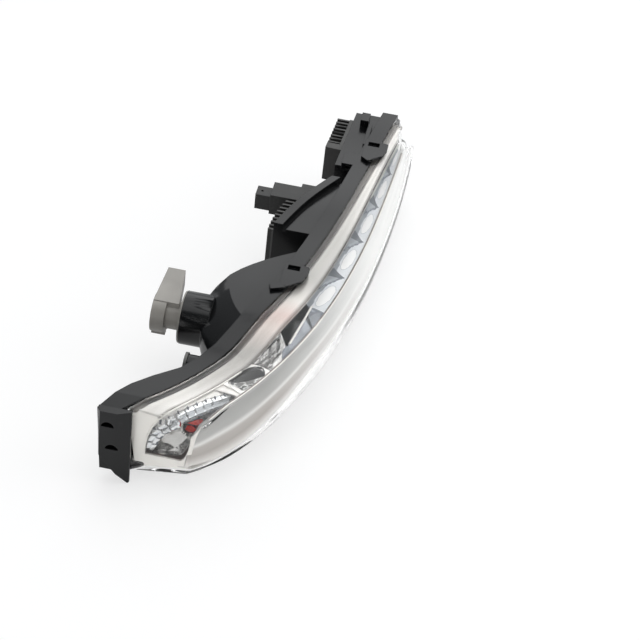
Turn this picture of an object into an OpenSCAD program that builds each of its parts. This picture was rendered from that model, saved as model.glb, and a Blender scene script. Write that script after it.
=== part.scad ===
// Front corner indicator lamp of a vehicle: a long swept lens on a black housing.
// X runs along the lamp, the outer end at -X. The lens faces -Y, the sockets +Y.
// The origin is on the axis of the indicator socket, at its rear face.

/* [Lamp outline] */
// Socket axis to the outer end of the rim
outer_len = 104; // [98:1:110]
// Socket axis to the inner end of the rim
inner_len = 239; // [234:1:246]
// Socket rear face forward to the inner end of the rim
rim_front = 101; // [98:1:104]
// Top of the rim at the low outer part, above the socket axis
low_top = 12; // [10:0.5:13]
// Top of the rim along the daylight strip, above the socket axis
high_top = 22; // [21.5:0.5:24]
// Bottom of the rim, below the socket axis
rim_bottom = 42; // [40:0.5:44]
// How far the bottom of the rim stands forward of its top
rim_lean = 5; // [3:0.5:6]

/* [Lens] */
// Wall of the clear lens
lens_wall = 2.4; // [2:0.1:2.7]
// Height of the daylight strip, from its upper to its lower edge
strip_drop = 12.5; // [11:0.5:13.5]
// Drop from the rim top to the most forward line of the lens
nose_drop = 30; // [27:0.5:32]

/* [Housing] */
// Wall of the housing
wall = 2.5; // [2:0.1:2.8]
// Lip that surrounds the lens edge
lip = 2.3; // [2:0.1:2.5]
// Depth of the rim channel along the daylight strip
tray_inner = 11; // [10.5:0.5:13]
// Depth of the shallow outer part behind the rim
tray_outer = 12.5; // [12:0.5:14]
// How much deeper the middle of the outer part is
tray_swell = 8.5; // [6:0.5:9]
// Height of the rear bulge over the indicator reflector
dome_height = 41; // [39:1:42]
// Focal length of the rear bulge
dome_focus = 21.7; // [20.5:0.1:22.5]
// Height of the deck behind the daylight strip, above the socket axis
deck_top = 20; // [19.5:0.1:20.5]
// Height of the curved rib that stands on the deck
rib_height = 4; // [2:0.5:5]

/* [Indicator socket] */
// Outside diameter of the socket neck
neck_d = 35; // [34:0.5:36]
// Bore of the socket neck
neck_bore = 27; // [26:0.5:28]
// Length of the socket neck, from its rear face to the bulge
neck_len = 14; // [13:0.5:15]
// Diameter of the barrel of the indicator bulb holder
holder_d = 24.8; // [23:0.2:25.2]
// Length of the holder behind the neck
holder_len = 20; // [18:0.5:22]
// Reach of the holder's plug housing from the socket axis
plug_reach = 32; // [30:1:35]
// Diameter of the indicator bulb's glass
bulb_d = 25; // [23:0.5:25.5]
// Reach of the indicator bulb forward of the socket rear face
bulb_reach = 48; // [45:0.5:50]

/* [Marker socket] */
// Outside diameter of the marker socket neck
marker_neck_d = 19; // [18:0.5:20]
// Bore of the marker socket neck
marker_bore = 14.6; // [14:0.2:15]
// Diameter of the marker bulb's glass
marker_bulb_d = 9.5; // [8.5:0.5:10]
// Reach of the marker bulb forward of the indicator socket's rear face
marker_reach = 33; // [30:0.5:34]

/* [Daylight strip] */
// Number of daylight reflector bowls
bowls = 5; // [4:1:6]
// Side of each daylight LED
led_side = 3.5; // [3:0.1:4]
// Thickness of the LED boards
board_t = 1.6; // [1.2:0.1:1.8]
// Spacing of the teeth on the light guide
tooth_pitch = 6; // [5:0.5:8]

/* [Heat sinks] */
// Thickness of a cooling fin
fin_t = 1.6; // [1.2:0.1:2]
// Spacing of the cooling fins
fin_pitch = 4.2; // [3.8:0.1:5]
// Depth of the cooling fins
fin_depth = 12; // [9:0.5:13]
// Diameter of the heat sink screws
screw_d = 3; // [2.5:0.1:3.5]

/* [Mounting] */
// Bore of the fixing bosses behind the lamp
boss_bore = 5; // [4:0.1:6]
// Outside diameter of the fixing bosses
boss_d = 12; // [11:0.5:13]
// Length of the clip windows in the upper tabs
window_l = 8; // [6:0.5:9]
// Diameter of the locating pin at the inner end
pin_d = 6; // [5:0.5:7]

/* [Hidden] */

// Clearance between pieces that sit in one another
gap = 0.3;
// Clearance between pieces that rest on one another
seat_gap = 0.1;
// A distance beyond everything, for cuts that go right through
beyond = 60;
// A line in plan behind the whole rear wall
rear_line = 20;
// Stations along the lamp at which the swept pieces have a section
stations = 24;
// Facets of round holes and barrels
$fn = 64;

// The lines that give the lamp its shape, in plan, each a cubic curve:
// outer end, two handles, inner end. The others are set out from the rim.
rim_line = [[-outer_len, 13], [69 - outer_len, -74], [inner_len - 102, 17 - rim_front],
    [inner_len, -rim_front]];
shoulder_step = [[-2, -20], [25, -23], [-40, -5], [-21, -6.5]];
trim_step = [[0, -49], [26, -31], [-24, -24], [-14, -12]];
nose_step = [[-2, -43], [-14, -41], [23, -37], [9, -15.5]];

function stepped(line, step) = [for (i = [0 : 3]) line[i] + step[i]];
function cubic(p, t) = pow(1 - t, 3) * p[0] + 3 * pow(1 - t, 2) * t * p[1]
    + 3 * (1 - t) * t * t * p[2] + t * t * t * p[3];
function slope(p, t) = 3 * pow(1 - t, 2) * (p[1] - p[0])
    + 6 * (1 - t) * t * (p[2] - p[1]) + 3 * t * t * (p[3] - p[2]);
function mix(a, b, k) = a + (b - a) * k;
function ease(k) = let (c = min(1, max(0, k))) c * c * (3 - 2 * c);
function span(a, b, n) = [for (i = [0 : n]) mix(a, b, i / n)];
// Swept pieces share all stations but the first and last, so that they nest
function swept(a, b) = [a, each [for (i = [1 : stations - 1]) i / stations], b];

shoulder_line = stepped(rim_line, shoulder_step);
trim_line = stepped(rim_line, trim_step);
nose_line = stepped(rim_line, nose_step);

function rim(t) = cubic(rim_line, t);
// The place along the curve at which the rim reaches x
function at_x(x, a = -0.1, b = 1.1, n = 18) = n == 0 ? (a + b) / 2
    : rim((a + b) / 2).x < x ? at_x(x, (a + b) / 2, b, n - 1) : at_x(x, a, (a + b) / 2, n - 1);
// A point in plan at x, a distance behind the rim
function behind(x, d) = [x, rim(at_x(x)).y + d];

// Height of the rim: it steps up from the marker part to the daylight part,
// and is rounded down at the outer end
step_from = -46;
step_len = 42;
corner_drop = 4;
corner_len = rim(1 / stations).x + outer_len;
function top_z(x) = mix(low_top, high_top, ease((x - step_from) / step_len))
    - corner_drop * (1 - min(1, max(0, (x + outer_len) / corner_len)));
// Travel along the curve that moves an end wall by a distance
outer_rate = 200;
inner_rate = 310;
function from_outer(d) = d / outer_rate;
function from_inner(d) = 1 - d / inner_rate;
// Length along Y of a wall of unit thickness that runs at an angle to Y
function skew(t) = let (s = slope(rim_line, t)) norm(s) / s.x;

// The tongue of the lens stands in the rim channel as far as the seal
tongue = 2.2;
ledge_at = 4.5;
ledge_t = 2;
lens_proud = 0.6;
bezel_gap = 1;
bezel_t = 1.8;
ledge_drop = lip + lens_wall + bezel_gap;
nose_outer_z = -28;
trim_z = high_top - 0.5 - strip_drop;

// One section of the lens at t, set in by w from its outer face
function lens_section(t, w) = let (
        r = rim(t),
        u = cubic(shoulder_line, t),
        c = cubic(trim_line, t),
        n = cubic(nose_line, t),
        k = w * skew(t),
        top = top_z(r.x),
        low = ease(t / 0.3),
        uz = top_z(u.x) - 0.5,
        cz = mix(trim_z - 5, trim_z, ease(t / 0.08)),
        nz = mix(nose_outer_z, high_top - nose_drop, ease((t - 0.04) / 0.32)),
        bottom = -rim_bottom,
        tuck = lip + gap,
        bottom_front = mix(7, 0, ease((t - 0.08) / 0.3)) - rim_bottom,
        b = n + [0, mix(1, 9, low) - 3 * ease((t - 0.85) / 0.15)])
    [[r.x, r.y + tongue, top - tuck - w],
     [r.x, r.y - lens_proud - w, top - tuck - w],
     [r.x, r.y - lens_proud - w, top - w],
     [mix(r.x, u.x, 0.75), mix(r.y, u.y, 0.75) + 0.2 * w, mix(top, uz, 0.75) - w],
     [u.x, u.y + 0.4 * k, uz - 0.5 - 0.95 * w],
     [u.x, u.y - 0.8 + 0.75 * k, uz - 2 - 0.75 * w],
     [mix(u.x, c.x, 0.5), mix(u.y, c.y, 0.5) - 0.8 + 0.8 * k, mix(uz, cz, 0.5) - 0.6 * w],
     [c.x, c.y + 0.85 * k, cz - 0.5 * w],
     [mix(c.x, n.x, 0.35), mix(c.y, n.y, 0.55) + 0.95 * k, mix(cz, nz, 0.35) - 0.2 * w],
     [n.x, n.y + k, nz],
     [mix(n.x, b.x, 0.5), mix(n.y, b.y, 0.35) + k, mix(nz, bottom_front, 0.55) + 0.2 * w],
     [b.x, b.y + 0.6 * k, bottom_front + 3 + 0.4 * w],
     [b.x, min(b.y + 4 * low + 2, r.y - rim_lean - 2), bottom_front + w],
     [r.x, r.y - lens_proud - rim_lean - w, bottom + w],
     [r.x, r.y - lens_proud - rim_lean - w, bottom + tuck + w],
     [r.x, r.y + tongue - rim_lean, bottom + tuck + w]];
shoulder_at = 5;
trim_at = 7;

// Triangles over a grid of points; back turns them over
function grid_faces(rows, cols, at, back = false) = [
    for (i = [0 : rows - 2], j = [0 : cols - 2])
    let (a = at + i * cols + j, b = a + 1, c = a + cols + 1, d = a + cols)
    each back ? [[a, b, c], [a, c, d]] : [[a, c, b], [a, d, c]]];
// The indices round the edge of a grid
function edge_loop(rows, cols, at) = [
    each [for (j = [0 : cols - 2]) at + j],
    each [for (i = [0 : rows - 2]) at + i * cols + cols - 1],
    each [for (j = [cols - 1 : -1 : 1]) at + (rows - 1) * cols + j],
    each [for (i = [rows - 1 : -1 : 1]) at + i * cols]];
// Triangles between two loops of equal length
function band_faces(a, b) = let (n = len(a)) [
    for (k = [0 : n - 1])
    let (m = (k + 1) % n)
    each [[a[k], a[m], b[k]], [b[k], a[m], b[m]]]];
// Triangles from a hub point to a row of points
function fan_faces(at, cols, hub, back = false) = [
    for (j = [0 : cols - 1])
    let (a = at + j, b = at + (j + 1) % cols)
    back ? [hub, a, b] : [hub, b, a]];
function turned(list) = [for (i = [len(list) - 1 : -1 : 0]) list[i]];
function flat(rows) = [for (row = rows) each row];
function mean(values) = values * [for (v = values) 1 / len(values)];
function centre(row) = [for (k = [0 : 2]) mean([for (p = row) p[k]])];

// A curved plate between two grids of points with the same rows and columns
module plate(front, rear) {
    rows = len(front);
    cols = len(front[0]);
    n = rows * cols;
    polyhedron(concat(flat(front), flat(rear)),
        concat(grid_faces(rows, cols, 0), grid_faces(rows, cols, n, true),
            band_faces(edge_loop(rows, cols, 0), edge_loop(rows, cols, n))));
}

// A tray that is open at the back: outer and inner rows of sections, with end walls
module tray(outer, inner) {
    rows = len(outer);
    co = len(outer[0]);
    ci = len(inner[0]);
    n = rows * co;
    hub = n + rows * ci;
    last = rows - 1;
    hubs = [for (row = [outer[0], outer[last], inner[0], inner[last]]) centre(row)];
    rim_out = concat([for (i = [0 : last]) i * co], [for (i = [last : -1 : 0]) i * co + co - 1]);
    rim_in = concat([for (i = [0 : last]) n + i * ci],
        [for (i = [last : -1 : 0]) n + i * ci + ci - 1]);
    polyhedron(concat(flat(outer), flat(inner), hubs), concat(
        grid_faces(rows, co, 0), grid_faces(rows, ci, n, true),
        fan_faces(0, co, hub, true), fan_faces(last * co, co, hub + 1),
        fan_faces(n, ci, hub + 2), fan_faces(n + last * ci, ci, hub + 3, true),
        band_faces(rim_in, rim_out)));
}

// A closed ring swept through a loop of sections
module ring(sections) {
    rows = len(sections);
    cols = len(sections[0]);
    polyhedron(flat(sections), [for (i = [0 : rows - 1], j = [0 : cols - 1])
        let (i2 = (i + 1) % rows, j2 = (j + 1) % cols,
            a = i * cols + j, b = i * cols + j2, c = i2 * cols + j2, d = i2 * cols + j)
        each [[a, b, c], [a, c, d]]]);
}

// A flat outline in plan, drawn up from one height to another
module slab(outline, z0, z1) {
    translate([0, 0, z0]) linear_extrude(z1 - z0) polygon(outline);
}
// An outline of y and z, drawn along X
module side_slab(outline, x0, x1) {
    translate([x0, 0, 0]) rotate([90, 0, 90]) linear_extrude(x1 - x0) polygon(outline);
}
// A barrel along Y from y0 forward to y1
module barrel(x, z, y0, y1, d) {
    translate([x, y0, z]) rotate([90, 0, 0]) cylinder(d = d, h = y0 - y1);
}

// Lens

module lens() {
    outer = [for (t = swept(0, 1)) lens_section(t, 0)];
    inner = [for (t = swept(from_outer(lens_wall), from_inner(lens_wall)))
        lens_section(t, lens_wall)];
    color([0.93, 0.95, 0.96, 0.35]) tray(outer, inner);
}

// The seal lies in the rim channel, between the tongue of the lens and the ledge
seal_from = tongue + gap;
seal_to = ledge_at - gap;
seal_t = 1.8;
// Its corners are mitred: the inner side of the bead stops short of the outer side
module seal_bead() {
    ends = [from_outer(lens_wall / 2), from_inner(lens_wall / 2)];
    stop = [from_outer(lens_wall / 2 + seal_t), from_inner(lens_wall / 2 + seal_t)];
    top_row = [for (t = swept(ends[0], ends[1]))
        let (r = rim(t), i = rim(min(stop[1], max(stop[0], t))),
            z = top_z(r.x) - lip - gap, zi = top_z(i.x) - lip - gap - lens_wall)
        [[r.x, r.y + seal_from, z], [r.x, r.y + seal_to, z],
         [i.x, i.y + seal_to, zi], [i.x, i.y + seal_from, zi]]];
    bottom_row = [for (t = turned(swept(ends[0], ends[1])))
        let (r = rim(t) - [0, rim_lean], i = rim(min(stop[1], max(stop[0], t))) - [0, rim_lean],
            z = lip + gap - rim_bottom)
        [[r.x, r.y + seal_from, z], [r.x, r.y + seal_to, z],
         [i.x, i.y + seal_to, z + lens_wall], [i.x, i.y + seal_from, z + lens_wall]]];
    color([0.15, 0.15, 0.15]) ring(concat(top_row, bottom_row));
}

// Bezels

// The upper bezel starts under the ledge of the rim
function upper_section(t, w) = let (s = lens_section(t, w), back = ledge_at + ledge_t - tongue)
    concat([s[0] + [0, back, 0]], [for (j = [1 : shoulder_at]) s[j]]);
function lower_section(t, w) = let (s = lens_section(t, w), n = len(s),
        back = ledge_at + ledge_t - tongue)
    concat([for (j = [trim_at : n - 2]) s[j]], [s[n - 1] + [0, back, 0]]);
bezel_from = from_outer(lens_wall + bezel_gap);
bezel_to = from_inner(lens_wall + bezel_gap);

module upper_bezel() {
    w = lens_wall + bezel_gap;
    ts = swept(bezel_from, bezel_to);
    color([0.80, 0.79, 0.78])
        plate([for (t = ts) upper_section(t, w)], [for (t = ts) upper_section(t, w + bezel_t)]);
}

// The lower bezel has a window for the indicator, and a saddle between the two lamps
window = [-52, 62, -17, 3];
saddle_from = 0.165;
saddle_to = 0.2;
module lower_bezel() {
    w = lens_wall + bezel_gap;
    ts = swept(bezel_from, bezel_to);
    color([0.86, 0.86, 0.84]) {
        difference() {
            plate([for (t = ts) lower_section(t, w)],
                [for (t = ts) lower_section(t, w + bezel_t)]);
            slab(concat([for (x = span(window[0], window[1], 8)) behind(x, -12)],
                [[window[1], -140], [window[0], -140]]), window[2], window[3]);
        }
        plate([for (t = span(saddle_from, saddle_to, 3)) saddle_section(t, w + 0.4)],
            [for (t = span(saddle_from, saddle_to, 3)) saddle_section(t, w + bezel_t - 0.4)]);
    }
}
function saddle_section(t, w) = let (s = lens_section(t, w)) [s[trim_at - 1], s[trim_at], s[trim_at + 1]];

// Daylight strip

strip_from = 0.385;
strip_to = 0.985;
cell = (strip_to - strip_from) / bowls;
reflector_t = 1.6;
// Heights of the cooling pad, the board and the LEDs under the upper bezel
pad_top = high_top - ledge_drop - gap - bezel_t - 1.6;
pad_t = 2;
board_top = pad_top - pad_t - seat_gap;
led_bottom = board_top - board_t - seat_gap;
led_t = 0.8;
scoop_top = led_bottom - led_t - 0.2;
scoop_w = lens_wall + bezel_gap + bezel_t + gap;

// A point of a scoop: v runs from its rear edge a to the trim line, b is the handle
function scoop(t, v, a, b, ridge) = let (
        c = lens_section(t, scoop_w)[trim_at],
        bowl = (1 - v) * (1 - v) * a + 2 * (1 - v) * v * b + v * v * c)
    mix(bowl, mix(a, c, v), ridge);
// Between two bowls a flat ridge widens towards the trim line
function ridge_at(k, v) = ease((abs(2 * k - 1) - mix(0.86, 0.5, v)) / mix(0.14, 0.5, v));
bowl_floor = -7;
function strip_point(t, v) = let (
        k = (t - strip_from) / cell,
        r = rim(t),
        c = lens_section(t, scoop_w)[trim_at])
    scoop(t, v, [r.x, r.y + 0.5, scoop_top], [mix(r.x, c.x, 0.3), r.y - 5, bowl_floor],
        0.85 * ridge_at(k - floor(k), v));
function thickened(grid, t) = [for (row = grid) let (n = len(row) - 1)
    [for (j = [0 : n]) row[j] + t * [0, 1 - j / n, -0.4 - 0.6 * j / n]]];

module daylight_reflector() {
    per_cell = 8;
    face = [for (t = span(strip_from, strip_to - 0.0001, bowls * per_cell))
        [for (v = span(0, 1, 8)) strip_point(t, v)]];
    color([0.78, 0.80, 0.83]) plate(face, thickened(face, reflector_t));
}

function led_t_at(i) = strip_from + (i + 0.5) * cell;
// The two boards share the bowls between them
inner_bowls = 2;
board_front = -8;
board_rear = 5;
board_split = strip_from + (bowls - inner_bowls) * cell;
module board(from, to) {
    ts = span(from, to, 6);
    slab(concat([for (t = ts) rim(t) + [0, board_front]],
        [for (i = [6 : -1 : 0]) rim(ts[i]) + [0, board_rear]]),
        led_bottom + seat_gap, board_top);
}
module leds(list) {
    for (i = list) {
        p = rim(led_t_at(i));
        translate([p.x - led_side / 2, p.y - 4 - led_side / 2, led_bottom - led_t])
            cube([led_side, led_side, led_t]);
    }
}
module middle_led_board() {
    color([0.85, 0.86, 0.82]) board(strip_from + 0.2 * cell, board_split - 0.06 * cell);
}
module inner_led_board() {
    color([0.85, 0.86, 0.82]) board(board_split + 0.06 * cell, strip_to - 0.37 * cell);
}
module middle_leds() {
    color([0.95, 0.85, 0.35]) leds([0 : bowls - inner_bowls - 1]);
}
module inner_leds() {
    color([0.95, 0.85, 0.35]) leds([bowls - inner_bowls : bowls - 1]);
}

// Housing

function tray_depth(t) = mix(tray_outer, tray_inner, ease((t - 0.1) / 0.25))
    + tray_swell * sin(180 * min(1, max(0, t / 0.17)));
function housing_outer(t) = let (r = rim(t), d = tray_depth(t), top = top_z(r.x))
    [[r.x, r.y - rim_lean, -rim_bottom], [r.x, r.y + d - rim_lean / 2, -rim_bottom],
     [r.x, r.y + d, top], [r.x, r.y, top]];
function housing_inner(t) = let (r = rim(t), d = tray_depth(t) - wall * skew(t),
        top = top_z(r.x), low = -rim_bottom, a = ledge_at, b = ledge_at + ledge_t, l = rim_lean)
    [[r.x, r.y - l, low + lip], [r.x, r.y + a - l, low + lip],
     [r.x, r.y + a - l, low + ledge_drop], [r.x, r.y + b - l, low + ledge_drop],
     [r.x, r.y + b - l, low + wall], [r.x, r.y + d - l / 2, low + wall],
     [r.x, r.y + d, top - wall], [r.x, r.y + b, top - wall], [r.x, r.y + b, top - ledge_drop],
     [r.x, r.y + a, top - ledge_drop], [r.x, r.y + a, top - lip], [r.x, r.y, top - lip]];

module rim_tray() {
    tray([for (t = swept(from_outer(-lip - gap), from_inner(-lip - gap)))
            housing_outer(t)],
        [for (t = swept(from_outer(-gap), from_inner(-gap))) housing_inner(t)]);
}
function tray_rear(x) = behind(x, tray_depth(at_x(x)));

// Plan outline from a line set back from the rim to a line behind everything
function rear_region(x0, x1, d) = concat(
    [for (x = span(x0, x1, 12)) behind(x, d)], [[x1, rear_line], [x0, rear_line]]);

// The bulge is a paraboloid about the socket axis, cut off flat above and below.
// A large sphere, the crown, lets its outer side slope away.
dome_start = neck_len - pow(neck_d / 2, 2) / (4 * dome_focus);
dome_end = 66;
crown_r = 144;
crown_rise = 13.6;
crown_at = [29, -84.7, dome_height / 2 + crown_rise - crown_r];
function dome_r(depth) = sqrt(4 * dome_focus * (depth - dome_start));
module dome(inset, front, shell = 0) {
    difference() {
        dome_solid(inset, front);
        if (shell > 0) dome_solid(inset + shell, front - 1);
    }
}
module dome_solid(inset, front) {
    back = neck_len + (inset > 0 ? 3 : 0);
    intersection() {
        rotate([90, 0, 0]) rotate_extrude()
            polygon(concat([[0, back], [dome_r(back) - inset, back]],
                [for (d = span(back + 3, dome_end, 8)) [dome_r(d) - inset, d]], [[0, dome_end]]));
        translate([-100, -130, inset - dome_height / 2]) cube([200, 160, dome_height - 2 * inset]);
        translate(crown_at) sphere(r = crown_r - inset);
        slab(rear_region(-66, 76, front), -beyond, beyond);
    }
}

// The deck box behind the middle bowls, with a slanted rear wall
deck_from = 85;
deck_to = 148;
deck_deep = 36.5;
deck_shallow = 19.5;
box_bottom = -22;
deck_corner = behind(deck_from, deck_deep);
deck_run = behind(deck_to, deck_shallow) - deck_corner;
deck_len = norm(deck_run);
// The inner box, behind the last bowls
inner_from = inner_len - 67;
inner_to = inner_len + 2;
inner_back = 24;
inner_back_end = 30;
inner_top = 18;
inner_corner = behind(inner_from, inner_back);
inner_run = behind(inner_to, inner_back_end) - inner_corner;
function box_outline(x0, x1, front, rear0, rear1, w) = concat(
    [for (x = span(x1 - w, x0 + w, 6)) behind(x, front)],
    [rear0 + [w, -w], rear1 + [-w, -w]]);
module deck_box(w, front) {
    slab(box_outline(deck_from, deck_to, front, deck_corner, deck_corner + deck_run, w),
        box_bottom + w, deck_top - w);
}
module inner_box(w, front) {
    slab(box_outline(inner_from, inner_to, front, inner_corner, inner_corner + inner_run, w),
        box_bottom + w, inner_top - w);
}
// A frame on a rear wall: X along the wall, Y out of it
module on_wall(corner, run) {
    translate([corner.x, corner.y, 0]) rotate([0, 0, atan2(run.y, run.x)]) children();
}

// The curved rib along the rear edge of the deck, and the groove in front of it
rib_w = 6;
groove_w = 2.4;
groove_depth = 1.5;
function rib_curve(d) = [for (k = span(0, 1, 8))
    behind(mix(deck_from, deck_to + 2, k), mix(deck_deep, deck_shallow, k) - d + 3 * sin(180 * k))];
function strip_outline(a, b) = let (far = rib_curve(b))
    concat(rib_curve(a), [for (i = [8 : -1 : 0]) far[i]]);

// The block at the outer end, with two half-moon slots
end_x = outer_len + 8;
module end_block() {
    intersection() {
        slab([[-end_x, 26], [-end_x, 15], [4 - end_x, 7], [5.7 - end_x, 7],
            [5.7 - end_x, 28], [3 - end_x, 28]], -beyond, low_top - 2);
        side_slab([[28, low_top], [26, 16 - rim_bottom], [8, -7 - rim_bottom],
            [-4, -1 - rim_bottom], [4, 0], [4, low_top]], -end_x - 1, -end_x + 9);
    }
}
module half_moon(y, z, r) {
    translate([-end_x - 1, y, z]) intersection() {
        rotate([0, 90, 0]) cylinder(r = r, h = 6);
        translate([0, -r, 0]) cube([6, 2 * r, r]);
    }
}

// Clip tabs that stand on the rim and reach over the edge of the lens
tab_t = 2.1;
tab_under = high_top + gap;
module tab(x) {
    p = behind(x, 0);
    difference() {
        union() {
            slab([p + [7, 10], p + [6.3, 1], p + [4.6, -6.5], p + [-2.4, -6.6], p + [-11, -4],
                p + [-18.8, 5], p + [-15, 10]], tab_under, tab_under + tab_t);
            slab([p + [-14, 10], p + [7, 10], p + [6, 1.5], p + [-12, 1.5]],
                tab_under - 1, tab_under + 0.1);
        }
        translate([p.x - 1, p.y - 0.5, tab_under - 1]) cube([5, window_l, 10]);
    }
}
// A finger beside the near tab, over the bulge
module finger(x) {
    p = behind(x, 0);
    slab([p + [-15, 9], p + [-19, 15.8], p + [-23.7, 14.2], p + [-19.5, 5]],
        tab_under, tab_under + tab_t);
}
near_tab_x = 39;
far_tab_x = inner_len - 45;

// The slotted bracket and the post beside the inner box
module bracket() {
    p = behind(inner_from + 5, 7);
    difference() {
        translate([p.x - 7, p.y, inner_top - 2]) cube([14, 13, 6]);
        translate([p.x - 8, p.y + 2.5, inner_top - 0.5]) cube([16, 8, 3]);
    }
}
module post() {
    p = behind(inner_len - 10, 17);
    translate([p.x - 5, p.y, inner_top - 2]) cube([10, 6, 8]);
    translate([p.x - 30, p.y - 3, inner_top - 2]) cube([26, 3, 5]);
}

boss_x = 40 - outer_len;
boss_z = -30;
boss_y = tray_rear(boss_x).y;
boss_len = 11;
inner_boss_x = inner_len - 11;
inner_boss_y = tray_rear(inner_boss_x).y;
insert_wall = 1.5;
marker_x = 22 - outer_len;
marker_z = -14;
marker_neck_len = 8;
marker_y = tray_rear(marker_x).y + marker_neck_len;
vent_x = 58 - outer_len;
vent_z = 1;
vent_len = 9;
vent_y = tray_rear(vent_x).y + vent_len;
vent_d = 14;
vent_bore = 8;
pin_y = behind(inner_to, 16).y;

// A round neck or boss that stands on the slanted rear wall
bite = 2.6;
module on_rear(x, z, y, d) {
    r = d / 2 + 1;
    intersection() {
        barrel(x, z, y, y - 50, d);
        slab(concat([for (u = span(x - r, x + r, 6)) tray_rear(u) - [0, bite]],
            [[x + r, beyond], [x - r, beyond]]), -beyond, beyond);
    }
}

module housing_outside() {
    rim_tray();
    dome(0, 8);
    barrel(0, 0, 0, -neck_len - 4, neck_d);
    deck_box(0, tray_inner - 1.5);
    slab(strip_outline(0, rib_w), deck_top - 1, deck_top + rib_height);
    inner_box(0, tray_inner - 1.5);
    bracket();
    post();
    end_block();
    tab(near_tab_x);
    tab(far_tab_x);
    finger(near_tab_x);
    on_rear(boss_x, boss_z, boss_y + boss_len, boss_d);
    on_rear(inner_boss_x, boss_z, inner_boss_y + boss_len, boss_d);
    on_rear(marker_x, marker_z, marker_y, marker_neck_d);
    on_rear(vent_x, vent_z, vent_y, vent_d);
    translate([inner_to - 1, pin_y, 0]) rotate([0, 90, 0]) cylinder(d = pin_d, h = 15);
    translate([inner_to - 1, pin_y, 0]) rotate([0, 90, 0]) cylinder(d = pin_d + 4, h = 5.5);
}

pad_slot = pad_t + 2 * gap;
module housing() {
    color([0.08, 0.08, 0.09]) difference() {
        housing_outside();
        dome(wall, ledge_at + ledge_t - 0.5);
        barrel(0, 0, 1, -neck_len - 8, neck_bore);
        deck_box(wall, ledge_at + ledge_t);
        inner_box(wall, ledge_at + ledge_t);
        slab(strip_outline(rib_w, rib_w + groove_w), deck_top - groove_depth, deck_top + 1);
        half_moon(21, -2, 4);
        half_moon(18, -20, 4);
        barrel(boss_x, boss_z, boss_y + boss_len + 1, boss_y + 1, boss_bore + 2 * insert_wall);
        barrel(inner_boss_x, boss_z, inner_boss_y + boss_len + 1, inner_boss_y + 1,
            boss_bore + 2 * insert_wall);
        barrel(marker_x, marker_z, marker_y + 1, marker_y - marker_neck_len - 16, marker_bore);
        barrel(vent_x, vent_z, vent_y + 1, vent_y - vent_len - 10, vent_bore);
        on_wall(deck_corner, deck_run) {
            translate([pad_x - gap, -8, pad_top - pad_t - gap]) cube([pad_w + 2 * gap, 12, pad_slot]);
            for (x = sink_screws) hole(x, -9, screw_d, 12);
        }
        on_wall(inner_corner, inner_run) {
            translate([inner_pad_x - gap, -8, pad_top - pad_t - gap])
                cube([inner_pad_w + 2 * gap, 12, pad_slot]);
            for (x = inner_sink_screws) hole(x, -9, screw_d, 12);
        }
        translate([con_x - neck_w / 2 - gap, con_y - 30, con_z - neck_h / 2 - gap])
            cube([neck_w + 2 * gap, 30, neck_h + 2 * gap]);
    }
}

// Heat sinks: a base on the rear wall, fins behind it, and a pad that reaches the board

base_t = 3;
sink_low = -13;
sink_high = 15;
pad_x = 5;
pad_w = 36;
inner_pad_x = 25;
inner_pad_w = 36;
sink_screws = [9, 34];
inner_sink_screws = [36, 57];
fin_from = deck_from + 4;
fin_to = deck_from + 39;
inner_fin_from = inner_len - 36;
inner_fin_to = inner_len - 6;

// A screw's shank, or the hole for it, along Y of a rear wall's frame
module hole(x, z, d, reach) {
    translate([x, -reach, z]) rotate([-90, 0, 0]) cylinder(d = d, h = reach + base_t + 2);
}
function wall_y(x, corner, run) = corner.y + (x - corner.x) * run.y / run.x;
function fin_edge(x) = -36 - 10 * pow((x - fin_from) / 45, 2);

module pad_shape(corner, run, x, w, edge_x0, edge_x1) {
    intersection() {
        on_wall(corner, run) translate([x, -beyond, pad_top - pad_t]) cube([w, beyond + base_t, pad_t]);
        slab(concat([for (x = span(edge_x0, edge_x1, 6)) behind(x, board_front + 2)],
            [[edge_x1, rear_line], [edge_x0, rear_line]]), -beyond, beyond);
    }
}

module middle_heat_sink() {
    color([0.17, 0.17, 0.16]) {
        difference() {
            union() {
                on_wall(deck_corner, deck_run) translate([3, seat_gap, sink_low])
                    cube([40, base_t, sink_high - sink_low]);
                pad_shape(deck_corner, deck_run, pad_x, pad_w, deck_from + wall + gap, deck_to);
                for (x = [fin_from : fin_pitch : fin_to])
                    translate([x, wall_y(x, deck_corner, deck_run) + 1.5, sink_low])
                        cube([fin_t, fin_edge(x) - wall_y(x, deck_corner, deck_run) - 1.5,
                            sink_high - sink_low]);
            }
            on_wall(deck_corner, deck_run)
                for (x = sink_screws) hole(x, -9, screw_d + 0.4, 1);
            on_wall(deck_corner, deck_run)
                for (x = sink_screws) translate([0, base_t + seat_gap, 0]) head_room(x);
        }
    }
}
module head_room(x) {
    translate([x, 0, -9]) rotate([-90, 0, 0]) cylinder(d = 2.4 * screw_d, h = 30);
}
module inner_heat_sink() {
    color([0.17, 0.17, 0.16]) {
        difference() {
            union() {
                on_wall(inner_corner, inner_run) {
                    translate([23, seat_gap, sink_low]) cube([40, base_t, sink_high - sink_low]);
                    translate([23, seat_gap, sink_low]) cube([6.5, fin_depth, sink_high - sink_low]);
                }
                pad_shape(inner_corner, inner_run, inner_pad_x, inner_pad_w, inner_from, inner_to - 20);
                for (x = [inner_fin_from : fin_pitch : inner_fin_to])
                    translate([x, wall_y(x, inner_corner, inner_run) + 1.5, sink_low])
                        cube([fin_t, fin_depth - 1.5, sink_high - sink_low]);
            }
            on_wall(inner_corner, inner_run)
                for (x = inner_sink_screws) {
                    hole(x, -9, screw_d + 0.4, 1);
                    translate([0, base_t + seat_gap, 0]) head_room(x);
                }
        }
    }
}
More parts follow.
